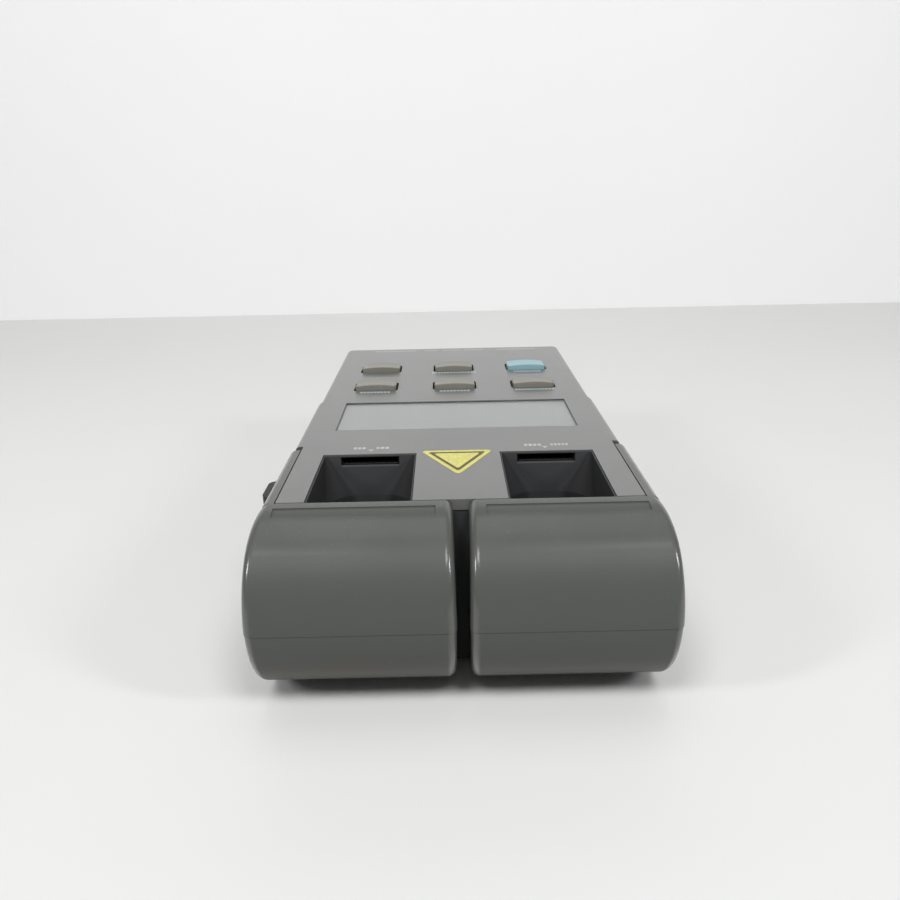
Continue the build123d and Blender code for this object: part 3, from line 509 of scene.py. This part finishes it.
def handled_faces_group():
    """A mask of the rims and flat faces that hands keep smooth, and not of the round nose."""
    tree, given, result = effect_group(
        "Handled Faces",
        {"Rim Start": ("value", 0.06), "Rim End": ("value", 0.28), "Flat Start": ("value", 0.72)},
        {"Rim": "value", "Flat": "value"},
    )
    parts = facing(tree)
    sideways = maths(tree, "ABSOLUTE", parts["X"])
    feed(result["Rim"], ramp(tree, sideways, given["Rim Start"], given["Rim End"]))
    feed(result["Flat"], ramp(tree, parts["Z"], given["Flat Start"], 1.0))
    return tree


effects = {}


def make_effects():
    """Builds each shared effect once."""
    makers = {
        "skin": moulded_skin_group, "edge": worn_edge_group, "dust": settled_dust_group,
        "darkening": corner_darkening_group, "scuffs": fine_scuffs_group, "smudge": smudge_group,
        "zone": colour_zone_group, "handled": handled_faces_group,
    }
    for name, maker in makers.items():
        effects[name] = maker()


def effect(tree, name, **values):
    """Places a shared effect in a material, with values for its inputs."""
    group = put(tree, "Group", node_tree=effects[name])
    feed_all(group.inputs, **values)
    return group.outputs


def opaque(color):
    """A colour with full alpha."""
    return (*color, 1.0)


def new_material(name):
    """An empty material with its Principled shader, ready for values and links."""
    material = bpy.data.materials.new(name)
    material.use_nodes = True
    tree = material.node_tree
    return material, tree, tree.nodes["Principled BSDF"]


def texture_normal(tree, height, depth, edge_radius=0.0):
    """A normal from a height in a depth, over edges softened by a radius."""
    inputs = {"Height": height, "Strength": 1.0, "Distance": depth}
    if edge_radius:
        inputs["Normal"] = softened(tree, edge_radius)
    return put(tree, "Bump", inputs).outputs["Normal"]


def moulded(
    name, color, roughness, context, mottle=0.10, wear=1.0, dust=1.0, darkening=1.0, scuffs=0.0,
    gloss=0.5, coat=0.0,
):
    """A moulded plastic with a fine skin, light edges, dust and darkened corners."""
    rubbed_gain, rubbed_lift, dust_roughness = 1.75, 0.02, 0.4
    first_turn, second_turn, second_size = (0.3, 0.5, 0.9), (0.9, 0.2, -0.5), 7.0
    plastic, worn = context.scene.meter_plastic, context.scene.meter_wear
    material, tree, shader = new_material(name)
    skin = effect(
        tree, "skin", Color=opaque(color), Mottle=mottle, Roughness=roughness,
        Grain_Size=plastic.grain_size / MM,
    )
    lighter = opaque([min(1.0, rubbed_gain * c + rubbed_lift) for c in color])
    edge = effect(tree, "edge", Radius=2 * plastic.edge_radius, Amount=wear * worn.edge_wear)
    shown = blended(tree, edge["Mask"], skin["Color"], lighter)
    if scuffs:
        amount = scuffs * worn.scuffs
        lines = effect(tree, "scuffs", Amount=amount, Turn=first_turn)
        shown = blended(tree, lines["Mask"], shown, lighter)
        cross = effect(tree, "scuffs", Amount=amount, Turn=second_turn, Size=second_size)
        shown = blended(tree, cross["Mask"], shown, lighter)
    # Corners and seams darkened by how enclosed they are
    corner = effect(tree, "darkening", Amount=darkening * worn.darkening)
    shown = blended(tree, corner["Mask"], shown, opaque(worn.darkening_color))
    film = effect(tree, "dust", Amount=dust * worn.dust)["Mask"]
    shown = blended(tree, film, shown, opaque(worn.dust_color))
    rougher = maths(tree, "MULTIPLY_ADD", film, dust_roughness, skin["Roughness"], clamp=True)
    feed_all(
        shader.inputs, Base_Color=shown, Roughness=rougher, Specular_IOR_Level=gloss,
        Normal=texture_normal(tree, skin["Height"], plastic.grain_depth, plastic.edge_radius),
        Coat_Weight=coat, Coat_Roughness=plastic.polish_roughness,
    )
    return material


def smoothed(material, rim_roughness, flat_share):
    """Puts the sheen of handled plastic on a moulded material's rims and flat faces."""
    tree = material.node_tree
    faces = effect(tree, "handled")
    flat = maths(tree, "MULTIPLY", faces["Flat"], flat_share)
    coat = maths(tree, "MAXIMUM", flat, faces["Rim"])
    inputs = tree.nodes["Principled BSDF"].inputs
    feed_all(inputs, Coat_Weight=coat, Coat_Roughness=rim_roughness)


def base_color(material):
    """A finished material's nodes, its Base Color and what feeds that so far."""
    base = material.node_tree.nodes["Principled BSDF"].inputs["Base Color"]
    return material.node_tree, base, base.links[0].from_socket


def paint_side_shade(material, share):
    """Paints shade on a moulded material by darkening its faces that look left and right."""
    tree, base, shown = base_color(material)
    # The Rim mask here picks the faces that look sideways; darkening them is painted shade
    level = maths(tree, "MULTIPLY_ADD", effect(tree, "handled")["Rim"], share - 1.0, 1.0)
    feed(base, scaled(tree, shown, level))


def zone_mask(tree, low, high):
    """A mask of what lies between two corners, in metres."""
    pairs = list(zip(low, high))
    middle = [(a + b) / 2 / MM for a, b in pairs]
    half = [(b - a) / 2 / MM for a, b in pairs]
    return effect(tree, "zone", Middle=middle, Half_Size=half)["Mask"]


def two_tone(material, color, low, high):
    """Gives a moulded material another colour between two corners, in metres."""
    tree, base, shown = base_color(material)
    feed(base, blended(tree, zone_mask(tree, low, high), shown, opaque(color)))


def smudged(material, context, centre):
    """Adds the brown smudge to a moulded material, round a place in metres."""
    worn = context.scene.meter_wear
    tree, base, shown = base_color(material)
    place = [c / MM for c in centre]
    stain = effect(tree, "smudge", Centre=place, Spread=SMUDGE_SPREAD_MM, Amount=worn.smudge)
    feed(base, blended(tree, stain["Mask"], shown, opaque(worn.smudge_color)))


def plated(name, color, roughness):
    """A plated or turned metal with fine tool marks."""
    dull, bright = 0.75, 1.05
    smoother, rougher = roughness - 0.08, roughness + 0.10
    material, tree, shader = new_material(name)
    marks = noise_value(tree, scale=3.0)
    patches = noise_value(tree, scale=0.25, detail=4.0)
    feed_all(
        shader.inputs, Metallic=1.0,
        Base_Color=scaled(tree, tuple(color), spread_noise(tree, patches, dull, bright)),
        Roughness=spread_noise(tree, marks, smoother, rougher),
        Normal=texture_normal(tree, marks, 0.004 * MM),
    )
    return material


def clear_window():
    """Thin clear plastic that lets light through to the display."""
    acrylic_ior, patchy, covered = 1.49, 0.35, 0.75
    unmarked, hazy = 0.03, 0.10
    material, tree, shader = new_material("clear_window")
    smears = noise_value(tree, scale=0.08, detail=6.0)
    feed_all(
        shader.inputs, Base_Color=(0.95, 0.96, 0.96, 1), Transmission_Weight=1.0,
        IOR=acrylic_ior, Roughness=ramp(tree, smears, patchy, covered, unmarked, hazy),
    )
    through = put(tree, "BsdfTransparent", {"Color": (0.92, 0.93, 0.93, 1)})
    by_ray(tree, "Is Shadow Ray", shader, through, "Material Output")
    return material


def display_glass(context):
    """The blank display, pale and faintly striped by its columns."""
    column_fineness, column_contrast = 0.28, 0.025
    darkest, palest, gloss_spread = 0.93, 1.02, 0.04
    shown = context.scene.meter_display
    smoother, rougher = (shown.panel_roughness + way * gloss_spread for way in (-1, 1))
    material, tree, shader = new_material("display_glass")
    cloud = noise_value(tree, scale=0.03)
    columns = put(
        tree, "TexWave", {"Vector": millimetres(tree), "Scale": column_fineness, "Distortion": 0.0},
        wave_type="BANDS", bands_direction="X",
    ).outputs["Fac"]
    clouded = spread_noise(tree, cloud, darkest, palest)
    level = maths(tree, "MULTIPLY_ADD", columns, column_contrast, clouded)
    feed_all(
        shader.inputs, Base_Color=scaled(tree, tuple(shown.panel_color), level),
        Roughness=spread_noise(tree, cloud, smoother, rougher),
    )
    return material


def printed_ink(name, color):
    """Ink that has worn a little thin."""
    sound, thinned, thinnest = 0.35, 0.75, 0.72
    material, tree, shader = new_material(name)
    patches = noise_value(tree, scale=1.4, detail=4.0)
    worn = ramp(tree, patches, sound, thinned, 1.0, thinnest)
    feed_all(shader.inputs, Base_Color=scaled(tree, tuple(color), worn), Roughness=SATIN)
    return material


def soft_rubber(name, color, roughness=0.75):
    """Rubber with a dry, slightly blotched skin."""
    skin_depth, edge_radius = 0.01 * MM, 0.2 * MM
    material, tree, shader = new_material(name)
    skin = effect(
        tree, "skin", Color=opaque(color), Mottle=0.35, Mottle_Size=6.0, Roughness=roughness,
        Grain_Size=0.3,
    )
    feed_all(
        shader.inputs, Base_Color=skin["Color"], Roughness=skin["Roughness"],
        Normal=texture_normal(tree, skin["Height"], skin_depth, edge_radius),
    )
    return material


def circuit_board():
    """Green lacquer over copper tracks and the glass weave."""
    over_copper, over_glass, weave_color = (
        (0.03, 0.20, 0.08, 1), (0.012, 0.09, 0.035, 1), (0.05, 0.16, 0.07, 1)
    )
    track_edge, gap_edge, track_height = 0.05, 0.07, -0.03 * MM
    weave_low, weave_high, weave_share = 0.4, 0.6, 0.25
    material, tree, shader = new_material("circuit_board")
    cells = put(
        tree, "TexVoronoi", {"Vector": millimetres(tree), "Scale": 0.32},
        distance="CHEBYCHEV", feature="DISTANCE_TO_EDGE",
    ).outputs["Distance"]
    tracks = ramp(tree, cells, track_edge, gap_edge)
    weave = noise_value(tree, scale=2.4, detail=1.0)
    lacquer = blended(tree, tracks, over_copper, over_glass)
    woven = ramp(tree, weave, weave_low, weave_high, 0.0, weave_share)
    feed_all(
        shader.inputs, Base_Color=blended(tree, woven, lacquer, weave_color), Roughness=0.35,
        Normal=texture_normal(tree, tracks, track_height),
    )
    return material


def chip_resin():
    """Black moulded resin with a lighter, sparkling filler."""
    speck_edge, speck_core = 0.55, 0.7
    speck_height, edge_radius = 0.01 * MM, 0.15 * MM
    resin, filler = (0.014, 0.014, 0.015, 1), (0.045, 0.045, 0.047, 1)
    material, tree, shader = new_material("chip_resin")
    dots = noise_value(tree, scale=9.0, detail=1.0)
    specks = ramp(tree, dots, speck_edge, speck_core)
    feed_all(
        shader.inputs, Base_Color=blended(tree, specks, resin, filler), Roughness=SATIN,
        Normal=texture_normal(tree, specks, speck_height, edge_radius),
    )
    return material


def cell_sleeve():
    """A plain two-colour sleeve round each cell, with bare steel at its ends."""
    end_rim, collar = 1.6 * MM, 14.0 * MM
    dark, pale, steel = (0.02, 0.022, 0.03, 1), (0.30, 0.31, 0.33, 1), (0.55, 0.55, 0.54, 1)
    smoother, rougher = 0.22, 0.38
    material, tree, shader = new_material("cell_sleeve")
    low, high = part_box("batteries")
    start = (low.x + end_rim, low.y - MM, low.z - MM)
    sleeve = zone_mask(tree, start, (high.x - end_rim, high.y + MM, high.z + MM))
    ring = zone_mask(tree, start, (low.x + collar, high.y + MM, high.z + MM))
    painted = blended(tree, ring, dark, pale)
    patches = noise_value(tree, scale=0.2, detail=4.0)
    feed_all(
        shader.inputs, Base_Color=blended(tree, sleeve, steel, painted),
        Metallic=maths(tree, "SUBTRACT", 1.0, sleeve),
        Roughness=spread_noise(tree, patches, smoother, rougher),
    )
    return material


def dress(material, *nodes):
    """Gives a finish to CAD nodes, in their own material slots."""
    for name in nodes:
        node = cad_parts[name]
        if not node.material_slots:
            node.data.materials.append(material)
        for slot in node.material_slots:
            slot.material = material


def linked(name, data):
    """A new object in the scene, from its mesh, lamp or lens."""
    made = bpy.data.objects.new(name, data)
    bpy.context.scene.collection.objects.link(made)
    return made


def shaped(name, shape, material):
    """A new object in the scene, from a finished bmesh."""
    mesh = bpy.data.meshes.new(name)
    shape.to_mesh(mesh)
    shape.free()
    mesh.materials.append(material)
    return linked(name, mesh)


def new_object(name, shape, material, body="housing"):
    """An object from a finished bmesh, riding on a body."""
    piece = shaped(name, shape, material)
    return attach(piece, body)


def slab(shape, outline, low, high):
    """A flat plate over an outline of points, from one height to another."""
    rings = [[shape.verts.new((x, y, z)) for x, y in outline] for z in (low, high)]
    shape.faces.new(list(reversed(rings[0])))
    shape.faces.new(rings[1])
    join_rings(shape, *rings)


def join_rings(shape, first, second):
    """A band of faces between two rings of as many points."""
    for i in range(len(first)):
        j = (i + 1) % len(first)
        shape.faces.new((first[i], first[j], second[j], second[i]))


def rectangle(x0, x1, y0, y1):
    """The four corners of a rectangle, counter-clockwise."""
    return [(x0, y0), (x1, y0), (x1, y1), (x0, y1)]


def rounded(corners, radius, steps=6):
    """A convex outline with round corners, counter-clockwise."""
    points = []
    count = len(corners)
    for i in range(count):
        before, at, after = (Vector(corners[(i + k) % count]) for k in (-1, 0, 1))
        a, b = (before - at).normalized(), (after - at).normalized()
        half = a.angle(b) / 2
        centre = at + (a + b).normalized() * radius / math.sin(half)
        start, end = at + a * radius / math.tan(half), at + b * radius / math.tan(half)
        first, last = start - centre, end - centre
        turn = first.angle(last)
        for k in range(steps + 1):
            t = k / steps
            blend = (first * math.sin((1 - t) * turn) + last * math.sin(t * turn)) / math.sin(turn)
            points.append(tuple(centre + blend))
    return points


def printed(shape, printing, outline):
    """A flat of ink over an outline on the housing's top."""
    slab(shape, outline, top_z - printing.ink_height, top_z + printing.ink_height)


def printed_bar(shape, context, x0, x1, y):
    """A row of small blocks in place of a printed word, from x0 to x1 about y."""
    printing = context.scene.meter_print
    gap, half = printing.letter_gap, printing.letter_height / 2
    count = max(1, round((x1 - x0 + gap) / (printing.letter_width + gap)))
    width = (x1 - x0 + gap) / count - gap
    for i in range(count):
        left = x0 + i * (width + gap)
        block = rectangle(left, left + width, y - half, y + half)
        printed(shape, printing, rounded(block, gap / 2, steps=3))


def printed_words(shape, context, words, y):
    """A row of bars for words given in millimetres from the middle and the front."""
    for x0, x1 in words:
        printed_bar(shape, context, middle_x + x0 * MM, middle_x + x1 * MM, front_y + y * MM)


class METER_OT_effects(bpy.types.Operator):
    """Build the shared shader effects"""

    bl_idname = "power_meter.effects"
    bl_label = "Shared Effects"

    def execute(self, context):
        make_effects()
        return {"FINISHED"}


class METER_OT_housing(bpy.types.Operator):
    """Finish the two housing halves, the battery door, the strap lug and the feet"""

    bl_idname = "power_meter.housing"
    bl_label = "Housing"

    def execute(self, context):
        plastic = context.scene.meter_plastic
        case = moulded(
            "case_grey", plastic.case_color, plastic.case_roughness, context, scuffs=0.3,
            coat=plastic.case_polish,
        )
        dress(case, "upper_case", "lower_case", "battery_door")
        lug = moulded("lug_black", plastic.lug_color, SATIN, context, mottle=0.3, wear=0.6)
        dress(lug, "strap_lug")
        dress(soft_rubber("foot_rubber", plastic.foot_color), "rubber_feet")
        return {"FINISHED"}


class METER_OT_covers(bpy.types.Operator):
    """Finish the two nose covers, with scuffs and the brown smudge low on the left one"""

    bl_idname = "power_meter.covers"
    bl_label = "Nose Covers"

    def execute(self, context):
        plastic = context.scene.meter_plastic
        for side in ("left", "right"):
            cover = moulded(
                f"{side}_cover_grey", plastic.cover_color, plastic.cover_roughness, context,
                scuffs=0.6, gloss=plastic.cover_gloss,
            )
            low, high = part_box(f"{side}_cover")
            left_edge, right_edge = GRIP_INNER, GRIP_OUTER
            if side == "left":
                left_edge, right_edge = GRIP_OUTER, GRIP_INNER
                smudge_x = low.x + SMUDGE_SHARE * (high.x - low.x)
                smudged(cover, context, (smudge_x, low.y + SMUDGE_DEPTH, low.z + SMUDGE_LIFT))
            two_tone(
                cover, plastic.grip_color,
                (low.x + left_edge, front_y - GRIP_NEAR, high.z - GRIP_DROP),
                (high.x - right_edge, front_y - GRIP_FAR, high.z),
            )
            smoothed(cover, plastic.rim_roughness, plastic.flat_polish)
            dress(cover, f"{side}_cover")
        return {"FINISHED"}


class METER_OT_bays(bpy.types.Operator):
    """Finish the bays' lining, with painted shade on its sides and front, and the sockets and
    contact blades
    """

    bl_idname = "power_meter.bays"
    bl_label = "Plug-in Bays"

    def execute(self, context):
        plastic, metal = context.scene.meter_plastic, context.scene.meter_metal
        lining = moulded(
            "bay_black", plastic.bay_color, plastic.bay_roughness, context, mottle=0.3, dust=0.5,
            wear=0.0, gloss=plastic.bay_gloss,
        )
        # Painted shade on the lining's side walls
        paint_side_shade(lining, plastic.bay_painted_side_shade)
        low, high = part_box("bay_moulding")
        # The moulding's front, seen in the gap between the covers, gets the near-black: black
        # plastic and painted shade there
        two_tone(
            lining, plastic.panel_color, (low.x - MM, low.y - MM, low.z - MM),
            (high.x + MM, front_y, high.z + MM),
        )
        dress(lining, "bay_moulding")
        socket = moulded("socket_black", plastic.socket_color, SATIN, context, dust=0.3, wear=0.0)
        dress(socket, "left_bay_connector", "right_bay_connector")
        blades = plated("contact_brass", metal.contact_color, roughness=0.45)
        dress(blades, "left_bay_contacts", "right_bay_contacts")
        return {"FINISHED"}


class METER_OT_display(bpy.types.Operator):
    """Finish the window, the display glass and its frame"""

    bl_idname = "power_meter.display"
    bl_label = "Display"

    def execute(self, context):
        shown = context.scene.meter_display
        dress(clear_window(), "lcd_window")
        dress(display_glass(context), "lcd_panel")
        holder = moulded("frame_black", shown.frame_color, SATIN, context, dust=0.0, wear=0.0)
        dress(holder, "lcd_frame")
        dress(soft_rubber("strip_rubber", shown.strip_color), "lcd_contact_strips")
        return {"FINISHED"}


class METER_OT_keys(bpy.types.Operator):
    """Finish the five grey keys, the blue one and their rubber mat"""

    bl_idname = "power_meter.keys"
    bl_label = "Keys"

    def execute(self, context):
        keys = context.scene.meter_keys
        skin = keys.key_roughness
        grey = moulded("key_grey", keys.key_color, skin, context, darkening=1.3, dust=0.7)
        dress(grey, *[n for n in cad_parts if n.endswith("_key") and n != "blue_key"])
        dress(moulded("key_blue", keys.blue_color, skin, context, dust=0.7), "blue_key")
        dress(soft_rubber("mat_rubber", keys.mat_color, roughness=0.6), "key_mat")
        return {"FINISHED"}


class METER_OT_printing(bpy.types.Operator):
    """Print plain bars where the housing carries words"""

    bl_idname = "power_meter.printing"
    bl_label = "Printing"

    def execute(self, context):
        printing = context.scene.meter_print
        white = printed_ink("white_ink", printing.ink_color)
        cyan = printed_ink("pale_blue_ink", printing.cyan_color)
        faded = printed_ink("faded_ink", printing.faded_color)
        bays = bmesh.new()
        printed_words(bays, context, BAY_WORDS, BAY_WORDS_Y)
        tip_y, half, depth = front_y + ARROW_TIP_Y * MM, ARROW_HALF * MM, ARROW_DEPTH * MM
        for arrow_x in ARROWS_X:
            x = middle_x + arrow_x * MM
            arrow = [(x, tip_y), (x + half, tip_y + depth), (x - half, tip_y + depth)]
            printed(bays, printing, arrow)
        new_object("bay_legends", bays, white)
        title = bmesh.new()
        printed_words(title, context, TITLE_WORDS, TITLE_Y)
        new_object("title_bar", title, white)
        near, far = bmesh.new(), bmesh.new()
        for shape, shares in ((near, NEAR_WORDS), (far, FAR_WORDS)):
            for name, share in shares.items():
                low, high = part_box(name)
                x, half = (low.x + high.x) / 2, share * (high.x - low.x) / 2
                y = low.y - NEAR_GAP if shape is near else high.y + FAR_GAP
                printed_bar(shape, context, x - half, x + half, y)
        new_object("key_legends_near", near, cyan)
        new_object("key_legends_far", far, faded)
        return {"FINISHED"}


class METER_OT_sticker(bpy.types.Operator):
    """Put a plain yellow triangular sticker between the bays"""

    bl_idname = "power_meter.sticker"
    bl_label = "Sticker"

    def execute(self, context):
        printing = context.scene.meter_print
        yellow = printed_ink("sticker_yellow", printing.sticker_color)
        line = printed_ink("sticker_keyline", printing.keyline_color)
        outer = [(middle_x + x * MM, front_y + y * MM) for x, y in STICKER_CORNERS]
        base, face_z = bmesh.new(), top_z + printing.sticker_height
        slab(base, rounded(outer, printing.sticker_corner), top_z - printing.ink_height, face_z)
        new_object("yellow_sticker", base, yellow)
        centre = sum((Vector(p) for p in outer), Vector((0, 0))) / len(outer)
        inradius = min(
            abs((Vector(a) - centre).cross(Vector(b) - centre)) / (Vector(a) - Vector(b)).length
            for a, b in zip(outer, outer[1:] + outer[:1])
        )
        loops = []
        for inset in (printing.sticker_margin, printing.sticker_margin + printing.keyline_width):
            drawn = [tuple(centre + (Vector(p) - centre) * (1 - inset / inradius)) for p in outer]
            loops.append(rounded(drawn, printing.sticker_corner / 2))
        ring = bmesh.new()
        rows = [
            [ring.verts.new((x, y, z)) for x, y in loop]
            for z in (face_z - printing.ink_height, face_z + printing.ink_height / 2)
            for loop in loops
        ]
        for a, b in ((0, 2), (2, 3), (3, 1), (1, 0)):
            join_rings(ring, rows[a], rows[b])
        bmesh.ops.recalc_face_normals(ring, faces=ring.faces)
        new_object("sticker_keyline", ring, line)
        return {"FINISHED"}


class METER_OT_fasteners(bpy.types.Operator):
    """Finish the screws and inserts"""

    bl_idname = "power_meter.fasteners"
    bl_label = "Fasteners"

    def execute(self, context):
        metal = context.scene.meter_metal
        steel = plated("zinc_steel", metal.steel_color, roughness=0.34)
        dress(steel, "case_screws", "bay_screws", "board_screws")
        dark_steel = plated("dark_steel", metal.dark_steel_color, roughness=0.42)
        dress(dark_steel, "pivot_screws", "lug_screws")
        dress(plated("turned_brass", metal.brass_color, roughness=0.30), "pivot_inserts")
        return {"FINISHED"}


class METER_OT_inside(bpy.types.Operator):
    """Finish the board, the chips, the cells and their contacts"""

    bl_idname = "power_meter.inside"
    bl_label = "Inside"

    def execute(self, context):
        metal = context.scene.meter_metal
        dress(circuit_board(), "main_board")
        dress(chip_resin(), "board_chips", "buzzer")
        dress(cell_sleeve(), "batteries")
        nickel = plated("spring_nickel", metal.nickel_color, roughness=0.30)
        dress(nickel, "battery_contacts_left", "battery_contacts_right")
        return {"FINISHED"}


def camera_turn(stage):
    """The camera's turn from its pitch, yaw and roll."""
    level, tip = math.cos(stage.pitch), math.sin(stage.pitch)
    ahead = Vector((math.sin(stage.yaw) * level, math.cos(stage.yaw) * level, -tip))
    right = Vector((math.cos(stage.yaw), -math.sin(stage.yaw), 0))
    down = ahead.cross(right)
    leaning = right * math.cos(stage.roll) + down * math.sin(stage.roll)
    lower = down * math.cos(stage.roll) - right * math.sin(stage.roll)
    return Matrix((leaning, -lower, -ahead)).transposed().to_4x4()


def area_light(name, place, target, size, power):
    """A soft rectangular light that looks at a point."""
    lamp = bpy.data.lights.new(name, "AREA")
    lamp.shape = "RECTANGLE"
    lamp.size, lamp.size_y = size
    lamp.energy = power
    light = linked(name, lamp)
    light.location = place
    light.rotation_euler = (Vector(target) - Vector(place)).to_track_quat("-Z", "Y").to_euler()


def stage_material(name, color, glow):
    """Pale board with a faint unevenness, and some light of its own."""
    darkest, palest = 0.985, 1.01
    material, tree, shader = new_material(name)
    cloud = noise_value(tree, scale=0.004, detail=4.0)
    shown = scaled(tree, tuple(color), spread_noise(tree, cloud, darkest, palest))
    feed_all(
        shader.inputs, Base_Color=shown, Roughness=0.55, Emission_Color=(1, 1, 1, 1),
        Emission_Strength=glow,
    )
    return material


def stage_board(name, outline, low, high, color, glow=0.0):
    """A board of the stage over an outline, from one height to another."""
    shape = bmesh.new()
    slab(shape, outline, low, high)
    board = shaped(name, shape, stage_material(f"{name}_finish", color, glow))


def room_world(stage):
    """A world with dim light from all round, which the camera sees as a pale room."""
    world = bpy.data.worlds.new("studio_room")
    world.use_nodes = True
    tree = world.node_tree
    sky = tree.nodes["Background"]
    feed_all(sky.inputs, Color=(1, 1, 1, 1), Strength=stage.room_light)
    seen = put(tree, "Background", {"Color": opaque(stage.room_color)})
    by_ray(tree, "Is Camera Ray", sky, seen, "World Output")
    return world


class METER_OT_stage(bpy.types.Operator):
    """Set up the pale table, the backdrop, soft lights and the camera"""

    bl_idname = "power_meter.stage"
    bl_label = "Studio"

    def execute(self, context):
        stage = context.scene.meter_stage
        reach, wall_y, board = stage.table_reach, stage.wall_distance, stage.board
        table = rectangle(-reach, reach, -stage.table_front, wall_y)
        stage_board("table_top", table, -board, 0.0, stage.floor_color)
        wall = rectangle(-reach, reach, wall_y, wall_y + board)
        stage_board("backdrop", wall, -board, stage.wall_height, stage.wall_color, stage.wall_glow)
        context.scene.world = room_world(stage)
        for side in (-1, 1):
            for name, place, size, power in (
                ("main_light", stage.main_place, MAIN_LIGHT_SIZE, stage.main_power / 2),
                ("side_light", stage.side_place, SIDE_LIGHT_SIZE, stage.side_power),
            ):
                mirrored = (side * place.x, place.y, place.z)
                area_light(f"{name}_{side}", mirrored, NOSE_TARGET, size, power)
        area_light("top_light", stage.top_place, MIDDLE_TARGET, TOP_LIGHT_SIZE, stage.top_power)
        lens = bpy.data.cameras.new("photo_camera")
        lens.sensor_width = 36.0
        lens.lens = stage.lens
        lens.clip_start = 0.01
        camera = linked("photo_camera", lens)
        camera.matrix_world = Matrix.Translation(stage.camera_place) @ camera_turn(stage)
        context.scene.camera = camera
        context.scene.view_settings.view_transform = "Standard"
        return {"FINISHED"}


operators = (
    METER_OT_effects, METER_OT_stage, METER_OT_housing, METER_OT_covers, METER_OT_bays,
    METER_OT_display, METER_OT_keys, METER_OT_printing, METER_OT_sticker, METER_OT_fasteners,
    METER_OT_inside,
)
settings = {
    "meter_plastic": PlasticSettings, "meter_wear": WearSettings, "meter_display": DisplaySettings,
    "meter_keys": KeySettings, "meter_print": PrintSettings, "meter_metal": MetalSettings,
    "meter_stage": StageSettings,
}


class METER_PT_panel(bpy.types.Panel):
    """The power meter's steps and settings."""

    bl_label = "Power Meter"
    bl_space_type = "VIEW_3D"
    bl_region_type = "UI"
    bl_category = "Power Meter"

    def draw(self, context):
        for step in operators:
            self.layout.operator(step.bl_idname)
        for name, group in settings.items():
            box = self.layout.box()
            for prop in group.__annotations__:
                box.prop(getattr(context.scene, name), prop)


def register():
    """Adds the add-on's classes and settings."""
    for group in (*settings.values(), *operators, METER_PT_panel):
        bpy.utils.register_class(group)
    for name, group in settings.items():
        setattr(bpy.types.Scene, name, PointerProperty(type=group))


def unregister():
    """Takes the settings and classes away again."""
    for name in settings:
        delattr(bpy.types.Scene, name)
    for group in reversed((*settings.values(), *operators, METER_PT_panel)):
        bpy.utils.unregister_class(group)


def main():
    """Dresses the part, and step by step."""
    register()
    for step in operators:
        name = step.bl_idname.split(".")[1]
        getattr(bpy.ops.power_meter, name)()


if __name__ == "__main__":
    main()
